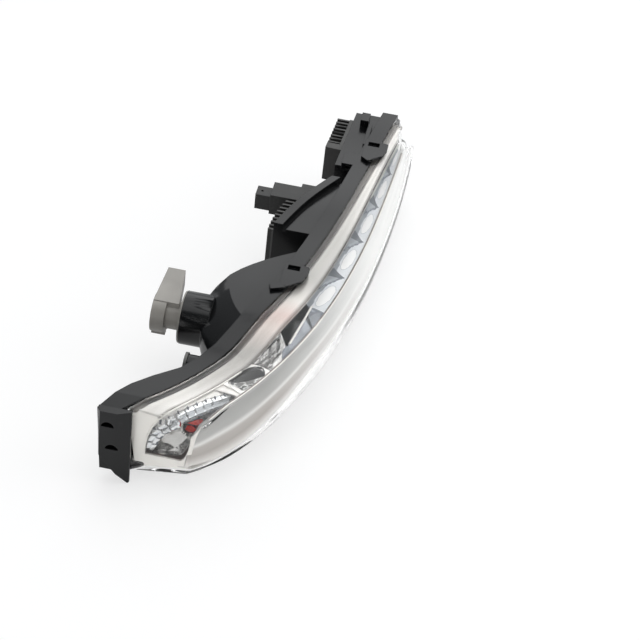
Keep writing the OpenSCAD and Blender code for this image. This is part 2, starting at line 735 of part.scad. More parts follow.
module screws(list) {
    for (x = list) {
        hole(x, -9, screw_d - 0.2, 7);
        translate([x, base_t + 2 * seat_gap, -9]) rotate([-90, 0, 0])
            cylinder(d = 2 * screw_d, h = 2);
    }
}
module heat_sink_screws() {
    color([0.7, 0.7, 0.72]) {
        on_wall(deck_corner, deck_run) screws(sink_screws);
        on_wall(inner_corner, inner_run) screws(inner_sink_screws);
    }
}

// LED connector on the slanted rear wall

con_x = 136;
con_y = -50;
con_z = 6;
neck_w = 12;
neck_h = 10;
con_end = -19.5;
blade = [2.2, 0.8];
blade_step = 4.4;
module con_block(w, h, y0, y1) {
    translate([con_x - w / 2, y0, con_z - h / 2]) cube([w, y1 - y0, h]);
}
module led_connector() {
    color([0.17, 0.17, 0.16]) difference() {
        union() {
            con_block(neck_w, neck_h, con_y - 22, con_y + 1);
            con_block(16, 16, con_y, con_y + 20);
            intersection() {
                translate([con_x - 10, con_y - 22, con_z - 10]) cube([22, 23, 18]);
                on_wall(deck_corner, deck_run) translate([30, seat_gap, -beyond]) cube([beyond, beyond, 2 * beyond]);
            }
            translate([-2, 0, 0]) con_block(10.5, 12, con_y + 19, con_end);
        }
        translate([-2, 0, 0]) con_block(7.7, 9.2, con_y + 12, con_end + 1);
        translate([con_x - 2, con_end - 4, con_z]) cylinder(d = 1.8, h = 10);
        for (i = [0, 1]) con_blade(i, seat_gap, con_y - 23, con_y + 20);
    }
}
module con_blade(i, room, y0, y1) {
    translate([con_x - 2 + (i - 0.5) * blade_step - blade[1] / 2 - room, y0,
        con_z - blade[0] / 2 - room]) cube([blade[1] + 2 * room, y1 - y0, blade[0] + 2 * room]);
}
module connector_pins() {
    color([0.75, 0.62, 0.3]) for (i = [0, 1]) con_blade(i, 0, con_y - 21, con_end - 6);
}

// Indicator reflector

reflector_inset = wall + gap;
module indicator_reflector() {
    w = reflector_t;
    half = dome_height / 2 - reflector_inset;
    color([0.80, 0.82, 0.84]) difference() {
        union() {
            dome(reflector_inset, ledge_at + ledge_t + 0.5, w);
            slab(concat([for (x = span(-34, 60, 12)) behind(x, ledge_at + ledge_t + 1.5)],
                [for (t = span(0.38, 0.26, 10)) let (n = lens_section(t, scoop_w)[trim_at + 2])
                    [n.x, n.y + 12]]), -half, w - half);
        }
        barrel(0, 0, 1, -neck_len - 12, neck_bore - 2);
    }
}

// Outer end: marker reflector, light guide, marker bulb in its holder

marker_from = 0.02;
marker_to = 0.155;
marker_hole_d = 12;
module marker_reflector() {
    face = [for (t = span(marker_from, marker_to, 10)) let (
            r = rim(t), c = lens_section(t, scoop_w)[trim_at],
            a = [r.x, r.y - 9, low_top - 10], b = [mix(r.x, c.x, 0.2), r.y - 11, -46])
        [for (v = span(0, 1, 10)) scoop(t, v, a, b, 0)]];
    color([0.80, 0.82, 0.84]) difference() {
        plate(face, thickened(face, reflector_t));
        barrel(marker_x, marker_z, rear_line, -beyond, marker_hole_d);
    }
}

// The light guide curves along the edge of the upper bezel and dips at its outer end
guide_from = 0.03;
guide_to = 0.15;
guide_w = 5;
guide_h = 10;
guide_teeth = round(46 / tooth_pitch);
function guide_point(t, out, down) = let (
        e = ease((t - guide_from) / 0.06),
        p = cubic(shoulder_line, t))
    [p.x, p.y + mix(7, 4.3, e) - out, mix(low_top - 18, low_top - 6.7, e) - down];
function tooth(i, d) = i % 2 == 0 ? 0 : d;
module light_guide() {
    n = 2 * guide_teeth;
    ts = span(guide_from, guide_to, n);
    front = [for (i = [0 : n]) [guide_point(ts[i], guide_w - tooth(i, 1.8), tooth(i, 1.2)),
        guide_point(ts[i], guide_w - tooth(i, 1.8), guide_h)]];
    back = [for (i = [0 : n]) [guide_point(ts[i], 0, 0), guide_point(ts[i], 0, guide_h)]];
    color([0.9, 0.93, 0.95, 0.6]) plate(front, back);
}

holder_front = 26;
module marker_bulb_holder() {
    color([0.62, 0.61, 0.58]) difference() {
        union() {
            barrel(marker_x, marker_z, marker_y + 2, marker_y - holder_front, marker_bore - 2 * gap);
            barrel(marker_x, marker_z, marker_y + 3, marker_y + 1, marker_neck_d - 1);
            barrel(marker_x, marker_z, marker_y + 9, marker_y + 2, 11);
            translate([marker_x - 7.5, marker_y + 2, marker_z - 1.5]) cube([15, 7, 3]);
        }
        barrel(marker_x, marker_z, marker_y - holder_front + 9, marker_y - holder_front - 1,
            marker_bulb_d + 2 * seat_gap);
    }
}
module marker_seal() {
    color([0.75, 0.3, 0.2]) difference() {
        barrel(marker_x, marker_z, marker_y + 1 - seat_gap, marker_y + seat_gap, marker_neck_d - 1);
        barrel(marker_x, marker_z, marker_y + 2, marker_y - 1, marker_bore + seat_gap);
    }
}
module marker_bulb() {
    glass_from = marker_y - holder_front + 8.9;
    glass_to = marker_bulb_d / 2 - marker_reach;
    color([0.85, 0.25, 0.1, 0.8]) {
        barrel(marker_x, marker_z, glass_from, glass_to, marker_bulb_d);
        translate([marker_x, glass_to, marker_z]) sphere(d = marker_bulb_d);
    }
}

// Indicator bulb in its holder, with the plug housing to one side

barrel_d = 18.6;
flange_d = 34;
inner_d = 20;
inner_len_y = 12;
bulb_base_d = 15;
plug_z = 12.4;
module indicator_bulb_holder() {
    color([0.58, 0.57, 0.54]) difference() {
        union() {
            barrel(0, 0, holder_len - 1, 0, barrel_d);
            barrel(0, 0, holder_len, 11, holder_d);
            barrel(0, 0, 1 + seat_gap, seat_gap, flange_d);
            barrel(0, 0, 1, -inner_len_y, inner_d);
            for (a = [20, 140, 260]) rotate([0, a, 0])
                translate([inner_d / 2 - 1, -9, -2.5]) cube([3.8, 3, 5]);
            slab([[-3, 3], [-3, holder_len], [plug_reach, holder_len - 1.5], [plug_reach, 7]],
                0, plug_z);
            translate([-5, 11, -14]) cube([10, holder_len - 11, 8]);
        }
        barrel(0, 0, -3.9, -inner_len_y - 1, bulb_base_d + 2 * seat_gap);
        translate([14, 9, 2]) cube([plug_reach, holder_len - 13, plug_z - 4]);
        translate([-1, 10, -15]) cube([2, 12, 3]);
    }
}
module holder_terminals() {
    color([0.75, 0.62, 0.3]) for (z = [4.5, 8])
        translate([14, 10.5, z - 0.4]) cube([plug_reach - 20, 4, 0.8]);
}
module holder_seal() {
    color([0.12, 0.12, 0.12]) difference() {
        barrel(0, 0, -0.3, -4, neck_bore - 2 * seat_gap);
        barrel(0, 0, 1, -5, inner_d + 2 * seat_gap);
    }
}
module indicator_bulb() {
    tip = bulb_d / 2;
    color([0.95, 0.6, 0.2, 0.7]) {
        barrel(0, 0, -4, -21, bulb_base_d);
        translate([0, -21, 0]) rotate([90, 0, 0])
            cylinder(d1 = bulb_base_d, d2 = bulb_d - 4, h = bulb_reach - 21 - tip - 5);
        translate([0, tip - bulb_reach, 0]) sphere(d = bulb_d);
    }
}

module vent_plug() {
    color([0.45, 0.45, 0.44]) {
        barrel(vent_x, vent_z, vent_y + 2, vent_y + seat_gap, vent_d + 2);
        barrel(vent_x, vent_z, vent_y + 1, vent_y - 6, vent_bore - 2 * seat_gap);
    }
}
module insert(x, z, y) {
    difference() {
        barrel(x, z, y + boss_len, y + 1 + seat_gap, boss_bore + 2 * insert_wall - 2 * seat_gap);
        barrel(x, z, y + boss_len + 1, y, boss_bore);
    }
}
module fixing_inserts() {
    color([0.75, 0.62, 0.3]) {
        insert(boss_x, boss_z, boss_y);
        insert(inner_boss_x, boss_z, inner_boss_y);
    }
}

housing();
lens();
seal_bead();
upper_bezel();
lower_bezel();
daylight_reflector();
indicator_reflector();
marker_reflector();
light_guide();
middle_led_board();
inner_led_board();
middle_leds();
inner_leds();
middle_heat_sink();
inner_heat_sink();
heat_sink_screws();
led_connector();
connector_pins();
indicator_bulb_holder();
holder_seal();
indicator_bulb();
holder_terminals();
marker_bulb_holder();
marker_seal();
marker_bulb();
vent_plug();
fixing_inserts();
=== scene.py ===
# %% [markdown]
# # A vehicle indicator lamp
# A long clear lens wraps round the corner of a vehicle. Behind it lie a marker light with a
# toothed light guide, an indicator bowl and a strip of daylight bowls, all on a black housing.
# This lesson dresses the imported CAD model: it keeps its sizes, and makes the curved pieces anew
# from the same rules, but with many more sections, so that they reflect smoothly.

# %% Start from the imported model
from math import cos, hypot, pi, radians, sin

import bmesh
import bpy
import numpy as np
from mathutils import Matrix, Vector


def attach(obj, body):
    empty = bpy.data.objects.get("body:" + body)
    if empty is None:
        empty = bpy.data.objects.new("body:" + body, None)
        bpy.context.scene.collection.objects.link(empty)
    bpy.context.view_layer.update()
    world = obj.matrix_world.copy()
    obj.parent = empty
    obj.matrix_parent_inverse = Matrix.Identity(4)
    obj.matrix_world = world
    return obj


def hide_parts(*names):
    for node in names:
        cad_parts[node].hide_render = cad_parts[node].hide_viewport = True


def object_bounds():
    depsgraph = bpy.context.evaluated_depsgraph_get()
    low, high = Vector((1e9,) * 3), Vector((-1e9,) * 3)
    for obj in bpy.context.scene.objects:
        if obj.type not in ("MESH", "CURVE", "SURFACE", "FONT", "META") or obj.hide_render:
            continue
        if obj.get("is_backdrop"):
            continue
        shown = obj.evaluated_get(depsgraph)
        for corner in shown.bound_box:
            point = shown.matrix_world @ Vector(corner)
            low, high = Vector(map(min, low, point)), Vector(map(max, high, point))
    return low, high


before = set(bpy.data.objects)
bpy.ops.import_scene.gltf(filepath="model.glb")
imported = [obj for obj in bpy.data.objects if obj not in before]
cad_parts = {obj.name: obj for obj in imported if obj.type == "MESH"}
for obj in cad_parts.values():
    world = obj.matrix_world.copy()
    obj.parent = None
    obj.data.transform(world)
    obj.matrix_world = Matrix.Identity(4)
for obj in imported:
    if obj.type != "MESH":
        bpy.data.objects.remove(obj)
cad_low, cad_high = (list(corner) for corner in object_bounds())
print("CAD box", cad_low, cad_high)

# %% [markdown]
# ## Shader maths as Python
# Node setups are easier to read as sums. `Wire` wraps a socket and lets it take part in Python
# maths, and `Tree.node` makes any other node from its type, its inputs and its settings. A
# `Finish` is the tree of a material, and the world has one of the same kind.


# %% Wires and finishes
class Wire:
    """An output socket that takes part in Python maths."""

    def __init__(self, maker, socket):
        self.maker = maker
        self.socket = socket

    def beside(self, name):
        """Another output of the same node."""
        return Wire(self.maker, self.socket.node.outputs[name])

    def math(self, operation, first, second):
        return self.maker.node("ShaderNodeMath", {0: first, 1: second}, {"operation": operation})

    def __add__(self, other):
        return self.math("ADD", self, other)

    __radd__ = __add__

    def __sub__(self, other):
        return self.math("SUBTRACT", self, other)

    def __rsub__(self, other):
        return self.math("SUBTRACT", other, self)

    def __mul__(self, other):
        return self.math("MULTIPLY", self, other)

    __rmul__ = __mul__

    def larger(self, other):
        return self.math("MAXIMUM", self, other)

    def below(self, other):
        return self.math("LESS_THAN", self, other)

    def ramp(self, stops):
        return self.maker.node("ShaderNodeValToRGB", {"Fac": self}, {"stops": stops})


class Tree:
    """Makes the nodes of a node tree, and gives their outputs as wires."""

    def __init__(self, tree):
        self.tree = tree

    def node(self, kind, inputs=None, settings=None, out=0):
        node = self.tree.nodes.new(kind)
        for key, value in (settings or {}).items():
            if key == "stops":
                set_stops(node.color_ramp, value)
            else:
                setattr(node, key, value)
        for key, value in (inputs or {}).items():
            if isinstance(value, Wire):
                self.tree.links.new(value.socket, node.inputs[key])
            else:
                node.inputs[key].default_value = value
        return None if out is None else Wire(self, node.outputs[out])


class Finish(Tree):
    """The node tree of a new material, or of a new world."""

    def __init__(self, name, owners=bpy.data.materials, output="ShaderNodeOutputMaterial"):
        self.owner = owners.new(name)
        self.owner.use_nodes = True
        self.output = output
        super().__init__(self.owner.node_tree)
        self.tree.nodes.clear()

    def noise(self, scale, detail=2.0):
        place = self.node("ShaderNodeTexCoord", out="Object")
        return self.node("ShaderNodeTexNoise", {"Vector": place, "Scale": scale, "Detail": detail})

    def along(self, name):
        """A value that a piece carries on its own points."""
        return self.node("ShaderNodeAttribute", None, {"attribute_name": name}, "Fac")

    def ray(self, kind):
        """What Light Path tells about the ray that meets the surface."""
        return self.node("ShaderNodeLightPath", out=kind)

    def blend(self, factor, first, second, how="MIX"):
        return self.node("ShaderNodeMix", {0: factor, 6: first, 7: second},
                         {"data_type": "RGBA", "blend_type": how}, 2)

    def either(self, factor, first, second):
        return self.node("ShaderNodeMixShader", {0: factor, 1: first, 2: second})

    def close(self, shader):
        self.node(self.output, {"Surface": shader}, out=None)
        return self.owner


def set_stops(ramp, stops):
    while len(ramp.elements) < len(stops):
        ramp.elements.new(1.0)
    for element, (position, colour) in zip(ramp.elements, stops):
        element.position = position
        element.color = (*colour, 1.0)


# %% [markdown]
# ## Finishes
# Moulded plastic is never one flat colour: its gloss changes a little from place to place, and
# a fine grain breaks up the reflections. A Bevel node rounds the edges for the light, which
# is what makes a moulding look moulded. One function makes every opaque finish.


# %% Opaque plastics, rubber and metal
FINISH = {}


def moulded(name, colour, rough, spread=0.06, grain=0.02, size=900.0, edge=0.0005,
            metal=0.0, tone=0.12, coat=0.0, ior=1.5, pattern=None, wave=0.0, glow=0.0):
    """A satin surface. Roughness drifts by spread and colour by the share tone, and a grain of
    size waves per metre and a slow wave bump it. A pattern takes the place of the colour: here
    it paints reflections and shade. A glow gives off the colour as painted light."""
    f = Finish(name)
    drift = f.noise(38.0)
    dark = tuple(channel * (1 - tone) for channel in colour)
    light = tuple(min(1.0, channel * (1 + tone)) for channel in colour)
    shade = drift.ramp([(0.3, dark), (0.7, light)])
    # A pattern paints reflections and shade into the colour.
    if pattern:
        shade = pattern(f, shade)
    roughness = f.noise(120.0, 3.0) * (2 * spread) + (rough - spread)
    rounded = f.node("ShaderNodeBevel", {"Radius": edge}, {"samples": 4})
    if wave:
        rounded = f.node("ShaderNodeBump", {"Distance": wave, "Normal": rounded,
                                            "Height": f.noise(11.0, 1.0)})
    bumped = f.node("ShaderNodeBump", {"Strength": grain, "Distance": 0.0004,
                                       "Height": f.noise(size), "Normal": rounded})
    # Glow gives off the colour as painted light; no piece here is a lit lamp.
    painted_glow_inputs = {"Emission Color": shade, "Emission Strength": glow} if glow else {}
    FINISH[name] = f.close(f.node("ShaderNodeBsdfPrincipled", {
        "Base Color": shade, "Roughness": roughness, "Metallic": metal, "Normal": bumped,
        "Coat Weight": coat, "Coat Roughness": 0.12, "IOR": ior, **painted_glow_inputs}))


moulded("black_plastic", (0.005, 0.0054, 0.006), 0.2, 0.04, 0.05, ior=1.4, wave=0.006)
moulded("sink_black", (0.030, 0.029, 0.027), 0.42, 0.08, 0.25, 1400.0)
moulded("connector_black", (0.026, 0.026, 0.025), 0.4, 0.06, 0.18, 1200.0, ior=1.4)
moulded("grey_plastic", (0.31, 0.295, 0.27), 0.42, 0.05, 0.12, 1200.0)
moulded("dark_grey_plastic", (0.11, 0.11, 0.105), 0.5)
moulded("rubber", (0.02, 0.02, 0.02), 0.7, 0.08, 0.3)
moulded("orange_rubber", (0.5, 0.13, 0.05), 0.6, 0.08, 0.3)
moulded("board", (0.62, 0.64, 0.60), 0.4)
moulded("led_resin", (0.90, 0.87, 0.72), 0.3)
moulded("steel", (0.56, 0.56, 0.57), 0.28, 0.08, 0.1, 700.0, metal=1.0)
moulded("brass", (0.66, 0.47, 0.19), 0.25, 0.08, 0.1, 700.0, metal=1.0)
moulded("metallised", (0.82, 0.84, 0.86), 0.08, 0.04, 0.02, 300.0, 0.0006, metal=1.0, tone=0.02)
print("plain finishes made")

# %% [markdown]
# The pale mouldings behind the lens mirror one another, which shows as bands and patches, and
# these reflections and shades are painted into their colour. A piece carries two values on its
# points for them: `across` runs over its section, or tells the parts of a bowl apart, and
# `length` runs along the lamp. Colour ramps turn them into tones of painted reflection and shade.


# %% Pale and bright finishes behind the lens
def skirt_painted_reflections(f, shade):
    """Painted reflections: brown-grey reflections of the seam lie along the rim side of the upper
    bezel, and the brightness, with a reddish patch, changes along the lamp.
    """
    wander = f.noise(9.0, 1.0) * 0.1 - 0.05
    painted_streak = (f.along("across") + wander).ramp([
        (0.16, (0.22, 0.20, 0.185)), (0.22, (0.62, 0.59, 0.56)), (0.27, (0.34, 0.31, 0.29)),
        (0.36, (0.62, 0.58, 0.55)), (0.44, (1.0, 0.99, 0.97)), (0.64, (0.78, 0.77, 0.75)),
        (0.86, (0.97, 0.96, 0.95)), (0.95, (0.42, 0.40, 0.39))])
    along = f.along("length").ramp([
        (0.0, (1, 1, 1)), (0.08, (0.94, 0.94, 0.94)), (0.16, (0.56, 0.55, 0.54)),
        (0.24, (0.42, 0.41, 0.40)), (0.30, (0.80, 0.70, 0.67)), (0.34, (0.74, 0.55, 0.52)),
        (0.39, (0.86, 0.84, 0.82)), (0.46, (0.52, 0.52, 0.51)), (0.60, (0.54, 0.54, 0.53)),
        (0.80, (0.96, 0.96, 0.95)), (0.9, (1, 1, 1))])
    return f.blend(0.85, shade, f.blend(1.0, along, painted_streak, "MULTIPLY"), "MULTIPLY")


def nose_painted_reflections(f, shade):
    """Painted reflections: grey under the trim line, a brown-grey band before the nose, white at
    the inner end.
    """
    across = f.along("across").ramp([
        (0.0, (0.29, 0.285, 0.28)), (0.22, (0.42, 0.42, 0.41)), (0.27, (0.76, 0.755, 0.74)),
        (0.31, (0.46, 0.43, 0.41)), (0.40, (0.40, 0.37, 0.35)), (0.52, (0.78, 0.76, 0.74)),
        (0.8, (0.46, 0.45, 0.43))])
    clear_end = f.along("length").ramp([(0.18, (0, 0, 0)), (0.62, (1, 1, 1))])
    return f.blend(clear_end, across, (0.86, 0.86, 0.85, 1))


def bowl_painted_light(f, shade):
    """Painted highlight and shade: each bowl has a painted white oval, and the ridges between
    bowls are painted dark triangles.
    """
    return f.along("across").ramp([
        (0.05, (1.0, 1.0, 1.0)), (0.16, (0.55, 0.57, 0.60)), (0.24, (0.80, 0.82, 0.85)),
        (0.36, (0.80, 0.82, 0.85)), (0.45, (0.34, 0.36, 0.39)), (0.66, (0.10, 0.11, 0.125)),
        (0.84, (0.34, 0.36, 0.39))])


def oval_painted_reflections(f, shade):
    """Painted reflection: the small bowl is painted black on its far side and bright with grey
    streaks on the near one.
    """
    painted_streak = f.noise(190.0, 2.0).ramp([(0.42, (0.10, 0.10, 0.10)), (0.50, (0.80, 0.80, 0.78)),
                                       (0.58, (0.20, 0.20, 0.195))])
    white_part = f.along("across").ramp([(0.32, (0, 0, 0)), (0.42, (1, 1, 1))])
    rim_part = f.along("across").ramp([(0.70, (0, 0, 0)), (0.78, (1, 1, 1))])
    return f.blend(rim_part, f.blend(white_part, (0.008, 0.008, 0.008, 1), painted_streak),
                   (0.90, 0.885, 0.86, 1))


BEZEL = {"spread": 0.05, "grain": 0.03, "size": 500.0, "edge": 0.0008, "tone": 0.03}
SHEET = {"spread": 0.04, "grain": 0.03, "size": 300.0, "edge": 0.0003, "tone": 0.02}
moulded("pale_bezel", (0.70, 0.68, 0.655), 0.3, metal=0.35, **BEZEL)
moulded("white_bezel", (0.86, 0.84, 0.80), 0.34, **BEZEL)
moulded("skirt_bezel", (0.66, 0.647, 0.63), 0.3, metal=0.3, pattern=skirt_painted_reflections, **BEZEL)
moulded("nose_bezel", (0.72, 0.71, 0.69), 0.3, metal=0.4, pattern=nose_painted_reflections, **BEZEL)
# The bowls glow by a share of their painted colour: painted light, as they are no lamp.
moulded("bowl_metal", (0.90, 0.92, 0.95), 0.2, metal=0.08, pattern=bowl_painted_light, glow=0.26, **SHEET)
moulded("oval_finish", (0.8, 0.8, 0.8), 0.25, ior=1.2, pattern=oval_painted_reflections, **SHEET)
moulded("smoked", (0.22, 0.235, 0.26), 0.24, metal=0.7, **{**SHEET, "spread": 0.05, "tone": 0.04})
moulded("dull_foil", (0.50, 0.495, 0.485), 0.15, metal=1.0,
        **{**SHEET, "edge": 0.0002, "tone": 0.35})
moulded("prism", (0.86, 0.88, 0.90), 0.14, 0.05, 0.04, 400.0, 0.0002, metal=0.75, tone=0.03,
        coat=0.6)
moulded("wedge_black", (0.006, 0.006, 0.006), 0.4, 0.04, 0.03, ior=1.18)
# The brown seam colour is painted shade, for a dark line that the lens crease bends into view.
moulded("painted_seam_shade", (0.20, 0.17, 0.155), 0.4, tone=0.2)
# The red bulb's glow is painted light, for light that shines through its red glass.
moulded("red_lamp", (0.80, 0.02, 0.01), 0.22, 0.05, 0.02, 600.0, tone=0.2, coat=0.4, glow=0.22)
print("finishes behind the lens made")

# %% [markdown]
# The clear pieces are real glass to the eye, with an outer and an inner face that both bend the
# light. Lamps would cast a black shadow through such glass, so its shadow rays meet a plain
# tinted Transparent shader instead.


# %% Clear plastics
def clear(name, tint, rough, ior=1.49, ripple=0.0, coat=0.0):
    """Glass that bends the light by ior and ripples a little, and lets the lamps through."""
    f = Finish(name)
    wave = f.node("ShaderNodeBump", {"Strength": ripple, "Distance": 0.0006,
                                     "Height": f.noise(26.0, 1.0)})
    smear = f.noise(60.0, 3.0) * 0.02 + rough
    glass = f.node("ShaderNodeBsdfPrincipled", {
        "Base Color": (*tint, 1.0), "Roughness": smear, "IOR": ior,
        "Transmission Weight": 1.0, "Coat Weight": coat, "Coat Roughness": 0.03,
        "Normal": wave})
    lamps = f.node("ShaderNodeBsdfTransparent", {"Color": (*tint, 1.0)})
    FINISH[name] = f.close(f.either(f.ray("Is Shadow Ray"), glass, lamps))


# The lens is one thin wall: it bends the light little, and its coat carries the gloss.
clear("clear_plastic", (0.985, 0.985, 0.98), 0.0, ior=1.13, ripple=0.01, coat=0.5)
clear("amber_glass", (0.95, 0.50, 0.12), 0.05)
print("clear finishes made")

# %% [markdown]
# ## The rules of the shape
# Four curves in plan carry the whole lamp: the rim, the shoulder, the trim line and the nose.
# They share one parameter t, from 0 at the outer end to 1 at the inner end. These are the CAD
# model's own rules, in millimetres, so every piece made here lies where its solid lies.

# %% Curves in plan
RIM = np.array([(-104, 13), (-35, -74), (137, -84), (239, -101)], float)
SHOULDER = np.array([(-106, -7), (-10, -97), (97, -89), (218, -107.5)], float)
TRIM = np.array([(-104, -36), (-9, -105), (113, -108), (225, -113)], float)
NOSE = np.array([(-106, -30), (-49, -115), (160, -121), (248, -116.5)], float)
LENS_WALL = 2.4
BEZEL_GAP = 1.0
BEZEL_WALL = 1.8
LIP = 2.3
GAP = 0.3
RIM_BOTTOM = 42.0
RIM_LEAN = 5.0
TRIM_Z = 9.0
# Near each end the lamp gets this many millimetres longer for a whole unit of t.
OUTER_RATE, INNER_RATE = 200, 310


def mix(a, b, k):
    return a + (b - a) * k


def ease(k):
    c = min(1.0, max(0.0, k))
    return c * c * (3 - 2 * c)


def bend(a, b, c, s):
    """A plain curve from a to c that leans towards b."""
    return (1 - s) ** 2 * a + 2 * (1 - s) * s * b + s * s * c


def zigzag(x):
    """A fold line: it goes up and down between -0.5 and 0.5, once in each step of 2."""
    return abs(x % 2 - 1) - 0.5


def cubic(p, t):
    return ((1 - t) ** 3 * p[0] + 3 * (1 - t) ** 2 * t * p[1]
            + 3 * (1 - t) * t * t * p[2] + t ** 3 * p[3])


def slope(p, t):
    return (3 * (1 - t) ** 2 * (p[1] - p[0]) + 6 * (1 - t) * t * (p[2] - p[1])
            + 3 * t * t * (p[3] - p[2]))


def rim(t):
    return cubic(RIM, t)


CORNER = rim(1 / 24)[0] + 104


def top_z(x):
    """The rim steps up from the marker part to the daylight part."""
    return mix(12, 22, ease((x + 46) / 42)) - 4 * (1 - min(1, max(0, (x + 104) / CORNER)))


def skew(t):
    s = slope(RIM, t)
    return hypot(*s) / s[0]


def lens_keys(t, w):
    """The sixteen points of one section of the lens, set in by w from its outer face."""
    r, u, c, n = rim(t), cubic(SHOULDER, t), cubic(TRIM, t), cubic(NOSE, t)
    k = w * skew(t)
    top = top_z(r[0])
    low = ease(t / 0.3)
    uz = top_z(u[0]) - 0.5
    cz = mix(TRIM_Z - 5, TRIM_Z, ease(t / 0.08))
    nz = mix(-28, -8, ease((t - 0.04) / 0.32))
    bottom, tuck = -RIM_BOTTOM, LIP + GAP
    front = mix(7, 0, ease((t - 0.08) / 0.3)) - RIM_BOTTOM
    b = n + np.array([0, mix(1, 9, low) - 3 * ease((t - 0.85) / 0.15)])
    rx, ry = r
    return np.array([
        (rx, ry + 2.2, top - tuck - w), (rx, ry - 0.6 - w, top - tuck - w),
        (rx, ry - 0.6 - w, top - w),
        (mix(rx, u[0], .75), mix(ry, u[1], .75) + 0.2 * w, mix(top, uz, .75) - w),
        (u[0], u[1] + 0.4 * k, uz - 0.5 - 0.95 * w),
        (u[0], u[1] - 0.8 + 0.75 * k, uz - 2 - 0.75 * w),
        (mix(u[0], c[0], .5), mix(u[1], c[1], .5) - 0.8 + 0.8 * k, mix(uz, cz, .5) - 0.6 * w),
        (c[0], c[1] + 0.85 * k, cz - 0.5 * w),
        (mix(c[0], n[0], .35), mix(c[1], n[1], .55) + 0.95 * k, mix(cz, nz, .35) - 0.2 * w),
        (n[0], n[1] + k, nz),
        (mix(n[0], b[0], .5), mix(n[1], b[1], .35) + k, mix(nz, front, .55) + 0.2 * w),
        (b[0], b[1] + 0.6 * k, front + 3 + 0.4 * w),
        (b[0], min(b[1] + 4 * low + 2, ry - RIM_LEAN - 2), front + w),
        (rx, ry - 0.6 - RIM_LEAN - w, bottom + w),
        (rx, ry - 0.6 - RIM_LEAN - w, bottom + tuck + w),
        (rx, ry + 2.2 - RIM_LEAN, bottom + tuck + w)])


print("rim from", rim(0), "to", rim(1), "mm")

# %% [markdown]
# A section with sixteen points has hard corners. A spline through the points of a curved face,
# and a small arc at each corner, give the moulded form. Every section gets the same number of
# points, so that neighbours can be joined into quads.


# %% Smooth sections
def spline(points, steps):
    """A Catmull-Rom curve through points, steps to a span."""
    p = np.vstack([2 * points[0] - points[1], points, 2 * points[-1] - points[-2]])
    out = []
    for i in range(1, len(p) - 2):
        for j in range(steps):
            s = j / steps
            out.append(0.5 * (2 * p[i] + (p[i + 1] - p[i - 1]) * s
                              + (2 * p[i - 1] - 5 * p[i] + 4 * p[i + 1] - p[i + 2]) * s * s
                              + (3 * p[i] - p[i - 1] - 3 * p[i + 1] + p[i + 2]) * s ** 3))
    return out + [points[-1]]


def arc(before, corner, after, radius, steps=4):
    """A corner cut back by radius along both sides, and rounded."""
    one, two = before - corner, after - corner
    a = corner + one * min(0.45, radius / np.linalg.norm(one))
    b = corner + two * min(0.45, radius / np.linalg.norm(two))
    return [bend(a, corner, b, s) for s in np.linspace(0, 1, steps + 1)]


def lens_curve(t, w):
    """One fine section: tongue, top band, shoulder, strip, trim line, nose, bottom, tongue."""
    k = lens_keys(t, w)
    strip = spline(np.array([k[5], k[6], k[7]]), 6)
    nose = spline(k[7:12], 8)
    return np.array([k[0], *arc(k[0], k[1], k[2], 0.5, 2), *arc(k[1], k[2], k[3], 0.8, 3),
                     k[3], *arc(k[3], k[4], k[5], 1.4, 3), *arc(k[4], k[5], k[6], 1.4, 3),
                     *strip[1:-1], *arc(strip[-2], k[7], nose[1], 0.5, 3), *nose[1:-1],
                     *arc(nose[-2], k[11], k[12], 3.0, 4), *arc(k[11], k[12], k[13], 1.5, 3),
                     *arc(k[12], k[13], k[14], 0.8, 3), *arc(k[13], k[14], k[15], 0.5, 2), k[15]])


# In a section, the shoulder ends at one of these points and the trim line starts at the other.
UPPER_END = 16
TRIM_START = 28
print("a section has", len(lens_curve(0.5, 0)), "points")

# %% [markdown]
# ## From grids of points to closed shells
# `shell` joins two grids of the same size, a front and a rear one, by a band round their edge.
# `tray` does the same for two grids that are closed at both ends and open at the back, and
# `plate` makes the rear grid itself. All end in `make_object`, which takes millimetres, merges
# what lies together, turns the faces outwards and marks the sharp edges by their angle.


# %% Mesh helpers
def in_scene(name, data):
    thing = bpy.data.objects.new(name, data)
    bpy.context.scene.collection.objects.link(thing)
    return thing


def surface(mesh, finish, sharp):
    """One material and smooth faces, with edges of more than an angle kept sharp."""
    mesh.materials.clear()
    mesh.materials.append(FINISH[finish])
    mesh.polygons.foreach_set("use_smooth", [True] * len(mesh.polygons))
    mesh.set_sharp_from_angle(angle=radians(sharp))


def make_object(name, points, faces, finish, sharp=35.0, carried=None):
    mesh = bpy.data.meshes.new(name)
    mesh.from_pydata([tuple(p) for p in np.asarray(points) * 0.001], [], faces)
    for key, values in (carried or {}).items():
        mesh.attributes.new(key, "FLOAT", "POINT").data.foreach_set("value", values)
    work = bmesh.new()
    work.from_mesh(mesh)
    bmesh.ops.remove_doubles(work, verts=work.verts, dist=1e-6)
    bmesh.ops.recalc_face_normals(work, faces=work.faces)
    work.to_mesh(mesh)
    work.free()
    surface(mesh, finish, sharp)
    print(name, len(mesh.polygons), "faces")
    return in_scene(name, mesh)


def cells(rows, cols, start=0):
    """Each cell of a grid, and its corners in a grid whose first point has the number start."""
    for i in range(rows - 1):
        for j in range(cols - 1):
            a = start + i * cols + j
            yield i, j, (a, a + 1, a + cols + 1, a + cols)


def grid_faces(rows, cols, start, flip, hole=None):
    return [quad if flip else quad[::-1] for i, j, quad in cells(rows, cols, start)
            if not (hole and hole(i, j))]


